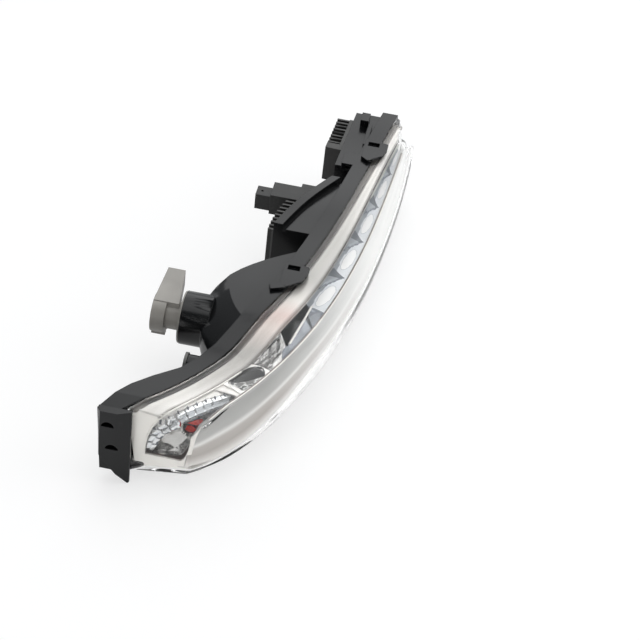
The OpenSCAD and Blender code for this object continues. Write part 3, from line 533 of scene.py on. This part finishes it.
def hole_wall(rows, cols, hole):
    """Quads from front to rear round the cells that are left out."""
    n = rows * cols
    faces = []
    for i, j, quad in cells(rows, cols):
        around = ((i - 1, j), (i, j + 1), (i + 1, j), (i, j - 1)) if hole(i, j) else ()
        for side, cell in enumerate(around):
            if not hole(*cell):
                one, two = quad[side], quad[(side + 1) % 4]
                faces.append((one, two, two + n, one + n))
    return faces


def edge_loop(rows, cols, start):
    """The numbers of the points round the edge of a grid."""
    n = start + np.arange(rows * cols).reshape(rows, cols)
    return [int(k) for k in (*n[0, :-1], *n[:-1, -1], *n[-1, :0:-1], *n[:0:-1, 0])]


def band(a, b):
    """Quads between two closed rows of points."""
    n = len(a)
    return [(a[k], a[(k + 1) % n], b[(k + 1) % n], b[k]) for k in range(n)]


def shell(name, front, rear, finish, sharp=35.0, across=None, hole=None):
    """A plate between two grids; across is kept on its points, and cells in a hole left out."""
    rows, cols = front.shape[:2]
    carried = None
    if across is not None:
        length = np.repeat(np.linspace(0, 1, rows), cols)
        carried = {"across": np.tile(across.ravel(), 2), "length": np.tile(length, 2)}
    n = rows * cols
    faces = (grid_faces(rows, cols, 0, False, hole) + grid_faces(rows, cols, n, True, hole)
             + band(edge_loop(rows, cols, 0), edge_loop(rows, cols, n))
             + (hole_wall(rows, cols, hole) if hole else []))
    points = np.vstack([front.reshape(-1, 3), rear.reshape(-1, 3)])
    return make_object(name, points, faces, finish, sharp, carried)


def tray(name, outer, inner, finish):
    """A deep hollow form between two grids: each end row is one face."""
    rows, cols = outer.shape[:2]
    n = rows * cols
    faces = grid_faces(rows, cols, 0, False) + grid_faces(rows, cols, n, True)
    for start in (0, (rows - 1) * cols, n, n + (rows - 1) * cols):
        faces.append(tuple(range(start, start + cols)))
    last = cols - 1
    rim_a = [i * cols for i in range(rows)] + [i * cols + last for i in range(rows - 1, -1, -1)]
    faces += band(rim_a, [n + a for a in rim_a])
    points = np.vstack([outer.reshape(-1, 3), inner.reshape(-1, 3)])
    return make_object(name, points, faces, finish)


def settle(thing):
    """The result of a piece's modifiers becomes its plain mesh."""
    graph = bpy.context.evaluated_depsgraph_get()
    mesh = bpy.data.meshes.new_from_object(thing.evaluated_get(graph), depsgraph=graph)
    thing.modifiers.clear()
    thing.data = mesh
    return thing


def dress(thing, node=None):
    """A piece rides on the one body, and may stand for a CAD node, whose part is then hidden."""
    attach(thing, "root")
    if node:
        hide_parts(node)
    return thing


def plate(name, face, step, finish, slot, sharp=35.0, node=None, **more):
    """A dressed shell whose rear is its face moved by step."""
    return dress(shell(name, face, face + step, finish, sharp, **more), node)


# %% [markdown]
# ## The clear lens
# The lens is a deep tray with a wall of 2.4 mm. Close to each end the sections shrink along a
# quarter circle, which rounds the upright edges of the end walls.


# %% Lens
def rounded_ends(first, last, radius, steps=5, rows=150):
    """Pairs of t and extra inset, for sections that close in on both ends."""
    turns = [pi / 2 * i / steps for i in range(steps)]
    ends = [(radius * (1 - cos(a)), radius * (1 - sin(a))) for a in turns]
    straight = np.linspace(first + radius / OUTER_RATE, last - radius / INNER_RATE, rows)
    return ([(first + d / OUTER_RATE, w) for d, w in ends] + [(t, 0.0) for t in straight]
            + [(last - d / INNER_RATE, w) for d, w in ends[::-1]])


def from_outer(d):
    """The value of t that lies d inside the outer end."""
    return d / OUTER_RATE


def from_inner(d):
    return 1 - d / INNER_RATE


outer = np.array([lens_curve(t, w) for t, w in rounded_ends(0, 1, 2.0)])
inner = np.array([lens_curve(t, LENS_WALL + w) for t, w in rounded_ends(
    from_outer(LENS_WALL), from_inner(LENS_WALL), 1.0)])
outer[..., 1] = np.maximum(outer[..., 1], cad_low[1] * 1000 + 0.02)
dress(tray("clear_lens", outer, inner, "clear_plastic"), "lens")

# %% [markdown]
# ## The bezels
# Two pale metallised mouldings lie 1 mm behind the lens. The upper one runs from the rim to
# the shoulder, and the lower one from the trim line round the nose to the bottom. Each carries
# how far its points lie across it, for the bands that its finish paints.

# %% Bezels
INSET = LENS_WALL + BEZEL_GAP
BACK = (0, 4.3, 0)
NOSE_COLUMN = 20    # the column of the lower bezel that lies on the nose


def bezel_grid(part, w, count=150):
    rows = []
    for t in np.linspace(from_outer(INSET), from_inner(INSET), count):
        s = lens_curve(t, w)
        if part == "upper":
            rows.append(np.vstack([s[0] + BACK, s[1:UPPER_END + 1]]))
        else:
            rows.append(np.vstack([s[TRIM_START:-1], s[-1] + BACK]))
    return np.array(rows)


def distance_across(grid, to):
    """How far along its row each point lies, as a share of the way to column to."""
    steps = np.linalg.norm(np.diff(grid, axis=1), axis=2)
    far = np.pad(np.cumsum(steps, axis=1), ((0, 0), (1, 0)))
    return far / far[:, to][:, None]


for part, finish, column, share in (("upper", "skirt_bezel", -1, 1),
                                    ("lower", "nose_bezel", NOSE_COLUMN, 0.5)):
    face = bezel_grid(part, INSET)
    dress(shell(part + "_bezel_skin", face, bezel_grid(part, INSET + BEZEL_WALL), finish,
                across=distance_across(face, column) * share), part + "_bezel")

# %% [markdown]
# Between the marker light and the indicator the two bezels meet in a pale saddle, which follows
# the strip from the shoulder to the trim line.

# %% Saddle
SADDLE_TOP = (0.128, 0.160)     # from t to t at the shoulder
SADDLE_FOOT = (0.108, 0.124)    # and at the trim line
SADDLE_WALL = 1.4


def saddle_row(k, w):
    """The saddle leans: its lower end lies further out, and dips into a bright line."""
    first, last = UPPER_END - 2, TRIM_START + 1
    row = []
    for j in range(first, last):
        v = (j - first) / (last - 1 - first)
        t = mix(mix(*SADDLE_TOP, k), mix(*SADDLE_FOOT, k), v)
        dip = 1.6 * sin(pi * v) + 2.0 * v ** 6
        row.append(lens_curve(t, w)[j] - (0, 0, dip))
    return row


saddle_face, saddle_back = (np.array([saddle_row(k, w) for k in np.linspace(0, 1, 9)])
                            for w in (INSET, INSET + SADDLE_WALL))
dress(shell("saddle", saddle_face, saddle_back, "pale_bezel"))

# %% [markdown]
# ## The indicator
# The pieces of the indicator are patches over the strip between shoulder (v = 0) and trim line
# (v = 1). Each has four corners in t and v, and a rule that says how deep it is sunk there. A
# patch keeps to the strip's own form that way, wherever the lamp bends.


# %% Patches over the strip
SINK = np.array([0.05, 0.6, -0.8])    # the way down into the lamp
PATCH_WALL = 0.9
PATCH_W = INSET + 0.6


def on_strip(t, v, w):
    """A point between shoulder and trim line, w behind the outer face of the lens."""
    s = lens_curve(t, w)[UPPER_END:TRIM_START + 2]
    k = min(1.0, max(0.0, v)) * (len(s) - 1)
    i = min(len(s) - 2, int(k))
    return mix(s[i], s[i + 1], k - i)


def spots(first, last, rows, cols):
    """All places of a grid, as shares along the lamp and across it."""
    return [(a, b) for a in np.linspace(first, last, rows) for b in np.linspace(0, 1, cols)]


def patch(name, corners, depth, finish, sharp=12.0, slot="metallised", tone=None,
          rows=33, cols=25):
    """A plate over four (t, v) corners, sunk by depth(a, b)."""
    c = [np.array(corner, float) for corner in corners]
    grid = []
    for a, b in spots(0, 1, rows, cols):
        t, v = mix(mix(c[0], c[1], a), mix(c[3], c[2], a), b)
        grid.append(on_strip(t, v, PATCH_W) + SINK * depth(a, b))
    tones = tone and np.array([tone(a, b) for a, b in spots(0, 1, rows, cols)])
    plate(name, np.array(grid).reshape(rows, cols, 3), SINK * PATCH_WALL, finish, slot, sharp,
          across=tones)


print("patches lie", PATCH_W, "mm behind the outer face of the lens")

# %% [markdown]
# Beside the saddle lies a small oval bowl, with painted reflection: black on its far side and
# bright on the near one.
# Then come a bright reflector that looks crumpled, because zigzags of several lengths are added
# up over it, a black wedge, and a blue-grey panel with one folded facet.


# %% Oval bowl, foil, wedge and panel
def from_centre(a, b):
    """0 in the middle of a patch and 1 where its oval touches the sides."""
    return hypot(2 * a - 1, 2 * b - 1)


def oval_depth(a, b):
    return 7.0 * (1 - min(1.0, from_centre(a, b)) ** 2) + 0.3


def oval_painted_light(a, b):
    """Painted reflection: 0 on the dark side of the oval, 0.5 on its bright side and 1 outside it.
    """
    if from_centre(a, b) > 0.98:
        return 1.0
    return 0.5 if a - 0.5 < 0.8 * (b - 0.48) else 0.0


def foil_depth(a, b):
    inside = sin(pi * a) * sin(pi * b)
    return (4.0 * inside + inside ** 0.3 * (1.2 * zigzag(8 * a + 2.7 * b)
                                            + 0.8 * zigzag(6.3 * b - 3.1 * a + 0.4)
                                            + 0.4 * zigzag(13 * a + 11 * b)) + 0.8)


patch("oval_bowl", [(0.146, 0.0), (0.222, 0.0), (0.198, 1.0), (0.112, 1.0)],
      oval_depth, "oval_finish", 40.0, tone=oval_painted_light, rows=81, cols=61)
patch("foil_reflector", [(0.216, 0.0), (0.316, 0.0), (0.278, 0.62), (0.196, 0.78)],
      foil_depth, "dull_foil", 7.0)
patch("lower_foil", [(0.196, 0.78), (0.262, 0.66), (0.228, 1.0), (0.186, 1.0)],
      lambda a, b: 1.5 * sin(pi * a) + 0.6 * zigzag(5 * a - 2 * b) + 0.3,
      "dull_foil", 7.0)
patch("black_wedge", [(0.316, 0.0), (0.424, 0.0), (0.392, 0.36), (0.276, 0.66)],
      lambda a, b: 3.0 * a * (1 - b) + 0.6, "wedge_black", 30.0, "black_plastic")
patch("blue_panel", [(0.262, 0.64), (0.398, 0.34), (0.392, 1.0), (0.228, 1.0)],
      lambda a, b: 2.2 * (1 - abs(2 * a - 1.2)) * (1 - b) + 0.4, "smoked", 20.0)
patch("wedge_rib", [(0.283, 0.60), (0.400, 0.30), (0.403, 0.36), (0.285, 0.66)],
      lambda a, b: -0.9 + 0.2 * b, "pale_bezel", 30.0, "pale_plastic")
patch("panel_facet", [(0.372, 0.46), (0.404, 0.42), (0.402, 0.92), (0.345, 0.98)],
      lambda a, b: -0.3 + 2.0 * a * (1 - b), "smoked", 20.0)

# %% [markdown]
# At the outer end the bezel wraps round the end wall of the lens. It leaves a window there, so
# the marker light shows to the side as well. The panel is a band between two outlines with
# the same number of points: the section of the bezel, and the edge of the window.


# %% End panel
def resample(points, count):
    """Points spread evenly along a polyline."""
    points = np.asarray(points, float)
    lengths = np.r_[0, np.cumsum(np.linalg.norm(np.diff(points, axis=0), axis=1))]
    at = np.linspace(0, lengths[-1], count)
    return np.stack([np.interp(at, lengths, points[:, i]) for i in range(points.shape[1])], 1)


def smoothed(points, count):
    """A rounded line through a few points."""
    return resample(spline(np.asarray(points, float), 8), count)


OUTLINE_POINTS = 90
edge = lens_curve(from_outer(INSET), INSET)
outside = resample(np.vstack([edge[UPPER_END - 4::-1], edge[:TRIM_START + 2:-1]]),
                   OUTLINE_POINTS)
window = smoothed([(-100.2, -12.5, 7.5), (-100.4, -9.9, 4.5), (-100.6, -5.2, -2.8),
                   (-100.7, -2.4, -10.3), (-100.8, -0.8, -18.5), (-100.9, -0.5, -26.5),
                   (-101.0, -1.2, -28.0), (-101.2, -7.6, -27.9), (-101.6, -17.9, -27.8),
                   (-102.2, -24.3, -26.5), (-102.0, -27.6, -18), (-100.6, -28.6, -8)],
                  OUTLINE_POINTS)
panel = np.array([mix(outside, window, k) for k in (0.0, 0.5, 1.0)])
plate("end_panel", panel, (1.5, 0, 0), "white_bezel", "pale_plastic", 40.0)

# %% [markdown]
# ## The daylight bowls
# Five scoops hang under the shoulder. Each is a curve from the board down and out to the trim
# line. Between two scoops stands a flat ridge, wide at the shoulder, with its apex on the trim
# line. The whole strip is one rule over t and v, so one grid of points makes it. The same rule
# gives the tones, which are painted light: a painted white highlight in each bowl, and painted
# shade on the ridges.

# %% Daylight reflector
STRIP_FROM, STRIP_TO = 0.393, 0.9849
CELL = 0.122         # t from one bowl to the next
APEX = 0.526         # t of one ridge's apex
SEEN_FROM = 0.55     # v where the strip comes out under the shoulder
RIDGE_LOW, RIDGE_HIGH, RIDGE_EDGE = 0.034, 0.025, 0.005
# A painted bright oval, a painted highlight: its middle and half its length, in t past an apex,
# and the same across the strip, as a share of what is seen.
OVAL_PAST, OVAL_LENGTH = 0.064, 0.034
OVAL_SEEN, OVAL_WIDTH = 0.60, 0.30
STRIP_ROWS, STRIP_COLS = 301, 30
SCOOP_TOP = 7.8
SCOOP_W = INSET + BEZEL_WALL + GAP
SCOOP_WALL = 1.6


def in_cell(t, v):
    """How far t lies past the nearest apex on the trim line, and v as a share of what is seen."""
    past = (t - APEX + CELL / 2) % CELL - CELL / 2
    return past, min(1.0, max(0.0, (v - SEEN_FROM) / (1 - SEEN_FROM)))


def ridge_at(t, v):
    """0 in a bowl and 0.85 on the flat triangle between two bowls."""
    past, seen = in_cell(t, v)
    inside = min(past + RIDGE_LOW * (1 - seen) ** 1.3, RIDGE_HIGH * (1 - seen) - past)
    return 0.85 * min(1.0, max(0.0, inside / RIDGE_EDGE))


def painted_light_at(t, v):
    """Painted light: 0 in the painted bright oval of a bowl, 0.3 round it, and more, as painted
    shade, on a ridge and beside it.
    """
    past, seen = in_cell(t, v)
    far = hypot((past % CELL - OVAL_PAST) / OVAL_LENGTH, (seen - OVAL_SEEN) / OVAL_WIDTH)
    # beside and dark are painted shade, round the oval and on the ridges.
    beside = 0.45 * ease((far - 1.15) / 0.2) * ease((0.42 - seen) / 0.15)
    dark = (0.62 if past > -0.006 else 0.88) if ridge_at(t, v) > 0.2 else 0.0
    return max(dark, beside, 0.3 * ease((far - 0.9) / 0.2))


def strip_point(t, v):
    """A deep curve in a bowl, and nearly a straight line on a ridge."""
    r, foot = rim(t), lens_keys(t, SCOOP_W)[7]
    top = np.array([r[0], r[1] + 0.5, SCOOP_TOP])
    deep = np.array([mix(r[0], foot[0], .3), r[1] - 5, -3.0])
    return mix(bend(top, deep, foot, v), mix(top, foot, v), ridge_at(t, v))


strip = spots(STRIP_FROM, STRIP_TO, STRIP_ROWS, STRIP_COLS)
face = np.array([strip_point(t, v) for t, v in strip]).reshape(STRIP_ROWS, STRIP_COLS, 3)
# The tones are painted light: a highlight in each bowl and shade on the ridges.
tones = np.array([painted_light_at(t, v) for t, v in strip])
# The rear of the strip is level behind its top, and lower behind its foot.
share = np.linspace(0, 1, STRIP_COLS)
step = np.stack([0 * share, 1 - share, -0.4 - 0.6 * share], 1) * SCOOP_WALL
plate("daylight_bowls", face, step, "bowl_metal", "metallised", 20.0, "daylight_reflector",
      across=tones)

# %% [markdown]
# ## The marker light
# The marker light fills the outer end. A light guide with two rows of teeth follows its upper
# edge and dips at the end wall. Below it hangs a bright bowl, folded like foil, with a dark
# opening for the red bulb. They follow a line for each row of teeth, and the edge of the
# recess, from which a narrow ledge runs in to the teeth.

# %% Guide lines and ledge
LINE_POINTS = 120
guide_line = smoothed([(-69, -46.5, 3), (-74.5, -39.8, 3), (-79.6, -33.9, 3), (-86.3, -27.3, 3),
                       (-92.4, -21.2, 2.4), (-96.4, -15.6, 0), (-98, -10.6, -3.8),
                       (-98.2, -6.5, -9.6), (-98.4, -3.9, -15.4), (-98.4, -2.6, -21)],
                      LINE_POINTS)
lower_line = smoothed([(-71, -46.2, 0.4), (-78.9, -38.2, 0.4), (-83.6, -33.4, 0.4),
                       (-89.6, -27.8, 0.2), (-95.0, -21.8, -1.4), (-97.8, -16.4, -4.4),
                       (-98.2, -10.9, -9.4), (-98.4, -7.0, -16), (-98.4, -5.0, -22)],
                      LINE_POINTS)
recess = smoothed([lens_curve(t, INSET + BEZEL_WALL)[UPPER_END]
                   for t in np.linspace(0.165, 0.03, 14)]
                  + [(-99.0, -11.5, 6.8), (-99.2, -8.4, 2.8), (-99.2, -4.8, -3.5),
                     (-99.3, -2.2, -10.5), (-99.3, -0.9, -18.5), (-99.3, -0.8, -24.5)],
                  LINE_POINTS)
ledge_inner = guide_line + (0.5, 1.9, 1.7)
ledge = np.array([mix(recess, ledge_inner, k) for k in np.linspace(0, 1, 5)])
plate("guide_ledge", ledge, (0.9, 0.9, -0.9), "pale_bezel", "pale_plastic", 40.0)

# %% [markdown]
# A rounded bead runs round the upper and outer edge of the recess, where the bezel turns down.
# Along the trim line lie a bright cord with a brown cord behind it: a painted highlight and
# painted shade, for the bright and dark lines that the lens crease bends into view. In all
# three, rings of points stand square to a line.


# %% Recess bead and trim line
def tube(name, line, radius, finish, sides=10, sharp=60.0):
    """A round cord along a line of points, closed at both ends."""
    along = np.gradient(line, axis=0)
    along /= np.linalg.norm(along, axis=1)[:, None]
    side = np.cross(along, (0.3, 0.2, 1.0))
    side /= np.linalg.norm(side, axis=1)[:, None]
    over = np.cross(side, along)
    angles = np.linspace(0, 2 * pi, sides, endpoint=False)
    rings = [p + radius * (cos(a) * u + sin(a) * o)
             for p, u, o in zip(line, side, over) for a in angles]
    loops = [tuple(range(k, k + sides)) for k in range(0, len(rings), sides)]
    faces = [quad for pair in zip(loops, loops[1:]) for quad in band(*pair)]
    dress(make_object(name, rings, faces + [loops[0], loops[-1]], finish, sharp))


BEAD_RADIUS, TRIM_RADIUS = 0.6, 0.42
bead_line = resample([lens_curve(t, INSET)[UPPER_END] for t in np.linspace(0.19, 0.035, 20)]
                     + list(window[3:52] + (-0.2, 0.0, 0.0)), 100)
tube("recess_bead", bead_line, BEAD_RADIUS, "white_bezel")
trim_line = np.array([lens_curve(t, INSET)[TRIM_START] for t in np.linspace(0.032, 0.97, 140)])
# A painted shade line and a painted highlight, for the lines that the lens crease bends into view.
tube("trim_painted_shade_line", trim_line + (0.0, 0.5, 0.1), TRIM_RADIUS, "painted_seam_shade")
tube("trim_painted_highlight", trim_line + (0.0, -0.25, -0.25), TRIM_RADIUS, "white_bezel")

# %% [markdown]
# ### Teeth by Geometry Nodes
# What repeats along a line is work for Geometry Nodes: the line becomes a curve, points are
# spread on it at one spacing, and a four-sided tooth stands on each. The tree ends in Realize
# Instances and Set Material, and the result is kept as a plain mesh.


# %% A tree that sets teeth along a line
FLAT_ON = 0.785    # a turn by half a right angle: a tooth's flat side faces along the line


def teeth_tree():
    group = bpy.data.node_groups.new("teeth_along_line", "GeometryNodeTree")
    sockets, tree = {}, Tree(group)
    for name, kind in (("Line", "Geometry"), ("Pitch", "Float"), ("Base", "Float"),
                       ("Tip", "Float"), ("Length", "Float"), ("Finish", "Material")):
        sockets[name] = group.interface.new_socket(
            name, in_out="INPUT", socket_type="NodeSocket" + kind).identifier
    group.interface.new_socket("Teeth", in_out="OUTPUT", socket_type="NodeSocketGeometry")
    line, pitch, base, tip, length, finish = (tree.node("NodeGroupInput", out=name)
                                              for name in sockets)
    curve = tree.node("GeometryNodeMeshToCurve", {"Mesh": line})
    feet = tree.node("GeometryNodeCurveToPoints", {"Curve": curve, "Length": pitch},
                     {"mode": "LENGTH"}, "Points")
    tooth = tree.node("GeometryNodeMeshCone", {"Vertices": 4, "Radius Top": tip,
                                               "Radius Bottom": base, "Depth": length})
    turned = tree.node("GeometryNodeTransform", {"Geometry": tooth, "Rotation": (0, 0, FLAT_ON)})
    stand = tree.node("GeometryNodeInstanceOnPoints", {
        "Points": feet, "Instance": turned, "Rotation": feet.beside("Rotation")})
    real = tree.node("GeometryNodeRealizeInstances", {"Geometry": stand})
    done = tree.node("GeometryNodeSetMaterial", {"Geometry": real, "Material": finish})
    tree.node("NodeGroupOutput", {"Teeth": done}, out=None)
    return group, sockets


TEETH, TEETH_INPUTS = teeth_tree()
TOOTH_PITCH = 5.9


def teeth(name, line, finish, base, tip, length, node=None):
    """Teeth along a line of points. All sizes are in millimetres."""
    mesh = bpy.data.meshes.new(name)
    mesh.from_pydata([tuple(p * 0.001) for p in line], [(i, i + 1) for i in range(len(line) - 1)],
                     [])
    thing = in_scene(name, mesh)
    modifier = thing.modifiers.new("teeth", "NODES")
    modifier.node_group = TEETH
    for key, value in (("Pitch", TOOTH_PITCH), ("Base", base), ("Tip", tip),
                       ("Length", length)):
        modifier[TEETH_INPUTS[key]] = value * 0.001
    modifier[TEETH_INPUTS["Finish"]] = FINISH[finish]
    dress(settle(thing), node)
    print(name, len(thing.data.polygons), "faces")


print("the tree for teeth has", len(TEETH.nodes), "nodes")

# %% [markdown]
# The guide is two rows of clear prisms on a pale backing. Small smoked caps and dashes are
# painted shade: they stand for the dark gaps between real prisms.

# %% Light guide
teeth("guide_teeth_upper", guide_line[3:116], "prism", 2.5, 1.8, 5.5,
      "light_guide")
teeth("guide_teeth_lower", lower_line[3:116], "prism", 2.2, 1.6, 5.4)
# Caps and dashes of painted shade, for the dark gaps between the prisms.
painted_shade_caps = guide_line[6:110] + (0.2, 1.5, 1.4)
teeth("guide_painted_shade_caps", painted_shade_caps, "smoked", 1.5, 1.0, 0.8)
painted_shade_dashes = lower_line[6:110] + (-0.6, -1.5, -0.8)
teeth("guide_painted_shade_dashes", painted_shade_dashes, "smoked", 0.7, 0.5, 2.8)
back = np.array([mix(guide_line, lower_line, k) + (1.8, 2.2, z)
                 for k, z in ((0, 1.6), (1, -2.0))])
plate("guide_backing", back, (0.6, 0.7, 0), "pale_bezel", "pale_plastic")

# %% [markdown]
# ### The folded bowl
# The bowl runs from the lower edge of the guide down and out to the trim line, and round the
# corner to the lower edge of the window. Folds are a zigzag added across it; where the bulb
# comes through, its cells are left out.

# %% Marker bowl
bowl_top = lower_line[3:] + (0.4, -0.8, -2.4)
bowl_end = smoothed([lens_keys(t, INSET + BEZEL_WALL)[7] for t in np.linspace(0.155, 0.03, 10)]
                    + [(-99.6, -31.5, -3), (-101.0, -28.0, -12), (-101.0, -24, -22),
                       (-100.4, -17.9, -25.4), (-99.9, -9.6, -26.6), (-99.6, -5.2, -27.0)],
                    len(bowl_top))


def folded_bowl(rows=33):
    grid = []
    for j, (a, b) in enumerate(zip(bowl_top, bowl_end)):
        middle = mix(a, b, 0.5) + (6.5, 2.0, -9.0)
        row = []
        for v in np.linspace(0, 1, rows):
            folds = 1.5 * zigzag(j / 9.0) + 1.1 * zigzag(v * 3.5 + j / 31.0)
            lift = sin(pi * v) * folds
            row.append(bend(a, middle, b, v) + np.array([-0.5, -0.3, 1.0]) * lift)
        grid.append(row)
    return np.array(grid)


bowl = folded_bowl()
# The opening's middle and its half sizes, each in cells along and across the bowl.
OPENING = (57.0, 17.0, 12.0, 12.5)


def in_opening(i, j):
    return hypot((i - OPENING[0]) / OPENING[2], (j - OPENING[1]) / OPENING[3]) < 1


plate("marker_bowl", bowl, (0.8, 0.6, -1.0), "dull_foil", "metallised", 9.0, "marker_reflector",
      hole=in_opening)

# %% [markdown]
# Behind the opening a black pocket hides the housing, and the bulb stands in it. It narrows
# from a little more than the opening to a floor behind it.

# %% Bulb pocket
turns = np.linspace(0, 2 * pi, 49)
WIDER = 1.12
pocket_ring = np.array([bowl[round(OPENING[0] + WIDER * OPENING[2] * cos(a)),
                             round(OPENING[1] + WIDER * OPENING[3] * sin(a))]
                        for a in turns]) + (0.9, 0.3, -1.1)
pocket_floor = mix(pocket_ring, pocket_ring.mean(axis=0), 0.3) + (12.6, 1.3, -10.4)
pocket = np.array([mix(pocket_ring, pocket_floor, k) for k in np.linspace(0, 1, 6)])
plate("bulb_pocket", pocket, (0.6, 0.2, -0.7), "wedge_black", "black_plastic", 40.0)

# %% [markdown]
# ## Smooth copies of the solids
# The other solids have the right shape, but their triangles are loose and flat. A copy whose
# corners are merged, with its sharp edges marked by angle, reflects as one moulding.

# %% Copies with smooth shading
SOLIDS = {
    "black_plastic": "housing", "rubber": "seal_bead holder_seal",
    "metallised": "indicator_reflector", "board": "middle_led_board inner_led_board",
    "led": "middle_leds inner_leds", "sink": "middle_heat_sink inner_heat_sink",
    "steel": "heat_sink_screws", "connector_plastic": "led_connector",
    "brass": "connector_pins holder_terminals fixing_inserts",
    "grey_plastic": "indicator_bulb_holder marker_bulb_holder", "amber_glass": "indicator_bulb",
    "red_glass": "marker_bulb", "orange_rubber": "marker_seal", "dark_grey_plastic": "vent_plug"}
# Every other finish is called as its slot.
FINISH_OF_SLOT = {"led": "led_resin", "sink": "sink_black", "connector_plastic": "connector_black",
                  "red_glass": "red_lamp"}


def smooth_copy(node, finish, angle=22.0):
    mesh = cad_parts[node].data.copy()
    work = bmesh.new()
    work.from_mesh(mesh)
    bmesh.ops.remove_doubles(work, verts=work.verts, dist=2e-6)
    bmesh.ops.dissolve_degenerate(work, edges=work.edges, dist=1e-6)
    bmesh.ops.dissolve_limit(work, angle_limit=radians(0.6), verts=work.verts,
                             edges=work.edges, use_dissolve_boundaries=False)
    work.to_mesh(mesh)
    work.free()
    surface(mesh, finish, angle)
    thing = in_scene(node + "_skin", mesh)
    weigh = thing.modifiers.new("weigh", "WEIGHTED_NORMAL")
    weigh.keep_sharp = True
    weigh.weight = 100
    dress(settle(thing), node)


for slot, nodes in SOLIDS.items():
    for node in nodes.split():
        smooth_copy(node, FINISH_OF_SLOT.get(slot, slot))
    print(slot, "on", nodes)

# %% [markdown]
# ## Camera, floor and light
# The photograph looks along the lamp from its outer end, from above, with a long lens. The
# camera stands where the picture's own perspective puts it: the origin shows at a known pixel,
# and a millimetre there covers about one and a half.

# %% Camera
forward = Vector((0.767, 0.077, -0.638)).normalized()
up = Vector((0.617, 0.187, 0.764))
up = (up - forward * up.dot(forward)).normalized()
right = forward.cross(up)
PICTURE = 640.0              # pixels across the picture
FOCAL = 2000.0               # pixels
PER_MILLIMETRE = 1.55        # pixels at the origin
ORIGIN_AT = (184.0, 317.0)
camera_data = bpy.data.cameras.new("camera")
camera_data.sensor_width = 36.0
camera_data.lens = FOCAL / PICTURE * camera_data.sensor_width
camera_data.clip_end = 20.0
camera = in_scene("camera", camera_data)
reach = FOCAL / PER_MILLIMETRE / 1000
across, down = ((pixel - PICTURE / 2) / FOCAL for pixel in ORIGIN_AT)
eye = -(forward + right * across - up * down) * reach
camera.matrix_world = Matrix.Translation(eye) @ Matrix(
    (right, up, -forward)).transposed().to_4x4()
bpy.context.scene.camera = camera
print("camera at", tuple(round(v, 3) for v in eye))

# %% [markdown]
# The floor is a pale sheet that throws back some light. What looks at it directly sees it
# nearly white, by a glow of its own, and it keeps the lamp's shadow.


# %% Floor and backdrop
def seen_directly(f):
    """1 for camera rays and for rays through glass, and half for what metal mirrors."""
    direct = f.ray("Is Camera Ray").larger(f.ray("Is Glossy Ray") * 0.5)
    return direct.larger(f.ray("Is Transmission Ray"))


def floor_finish():
    f = Finish("pale_floor")
    lit = f.node("ShaderNodeBsdfDiffuse", {"Color": (0.80, 0.80, 0.80, 1)})
    shade = f.node("ShaderNodeBsdfDiffuse", {"Color": (0.36, 0.36, 0.36, 1)})
    glow = f.node("ShaderNodeEmission", {"Color": (1, 1, 1, 1), "Strength": 0.67})
    white = f.node("ShaderNodeAddShader", {0: shade, 1: glow})
    return f.close(f.either(seen_directly(f), lit, white))


FLOOR_HALF = 6
floor_z = cad_low[2] - 0.0005
floor_mesh = bpy.data.meshes.new("floor")
floor_mesh.from_pydata([(x * FLOOR_HALF, y * FLOOR_HALF, floor_z)
                        for x, y in ((-1, -1), (1, -1), (1, 1), (-1, 1))], [], [(0, 1, 2, 3)])
floor_mesh.materials.append(floor_finish())
floor = in_scene("floor", floor_mesh)
floor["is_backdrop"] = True
print("floor at", round(floor_z, 4), "m")

# %% [markdown]
# The world is a dome, bright on the far upper side and nearly dark on the near lower one, so
# that black plastic has a light and a dark side. The camera meets a pale background instead,
# and so do its rays through glass that haven't bounced off a piece. Large soft boxes add the
# long reflections.


# %% World and lamps
def studio_world():
    f = Finish("studio", bpy.data.worlds, "ShaderNodeOutputWorld")
    way = f.node("ShaderNodeTexCoord", out="Generated")
    height = f.node("ShaderNodeVectorMath", {0: way, 1: (0.75, -0.25, 0.8)},
                    {"operation": "DOT_PRODUCT"}, "Value")
    dome = height.ramp([(0.0, (0.03, 0.031, 0.033)), (0.3, (0.24, 0.25, 0.26)),
                        (0.65, (0.62, 0.64, 0.66)), (1.0, (0.96, 0.98, 1.0))])
    sky = f.node("ShaderNodeBackground", {"Color": dome, "Strength": 0.8})
    pale = f.node("ShaderNodeBackground", {"Color": (0.97, 0.97, 0.97, 1)})
    unbounced = (f.ray("Diffuse Depth") + f.ray("Glossy Depth")).below(0.5)
    straight = f.ray("Is Camera Ray").larger(f.ray("Is Transmission Ray") * unbounced)
    return f.close(f.either(straight, sky, pale))


bpy.context.scene.world = studio_world()
LIT_PLACE = Vector((0.06, -0.06, 0))


def soft_box(name, place, size, power):
    """A rectangular lamp that looks at the middle of the object."""
    data = bpy.data.lights.new(name, "AREA")
    data.shape = "RECTANGLE"
    data.size, data.size_y = size
    data.energy = power
    turn = (LIT_PLACE - Vector(place)).to_track_quat("-Z", "Y")
    in_scene(name, data).matrix_world = Matrix.Translation(place) @ turn.to_matrix().to_4x4()


soft_box("top_box", (0.1, -0.05, 1.4), (1.2, 1.2), 6.0)
soft_box("far_box", (1.55, 0.15, 1.25), (1.6, 1.6), 9.0)
soft_box("front_box", (0.3, -1.4, 0.8), (1.2, 0.9), 5.0)
soft_box("end_box", (-1.6, -0.2, 0.35), (1.2, 0.8), 6.0)
soft_box("strip_box", (-0.55, 0.75, 1.1), (1.3, 0.05), 1.2)
bpy.context.scene.view_settings.view_transform = "Standard"
print("lamps", len(bpy.data.lights))
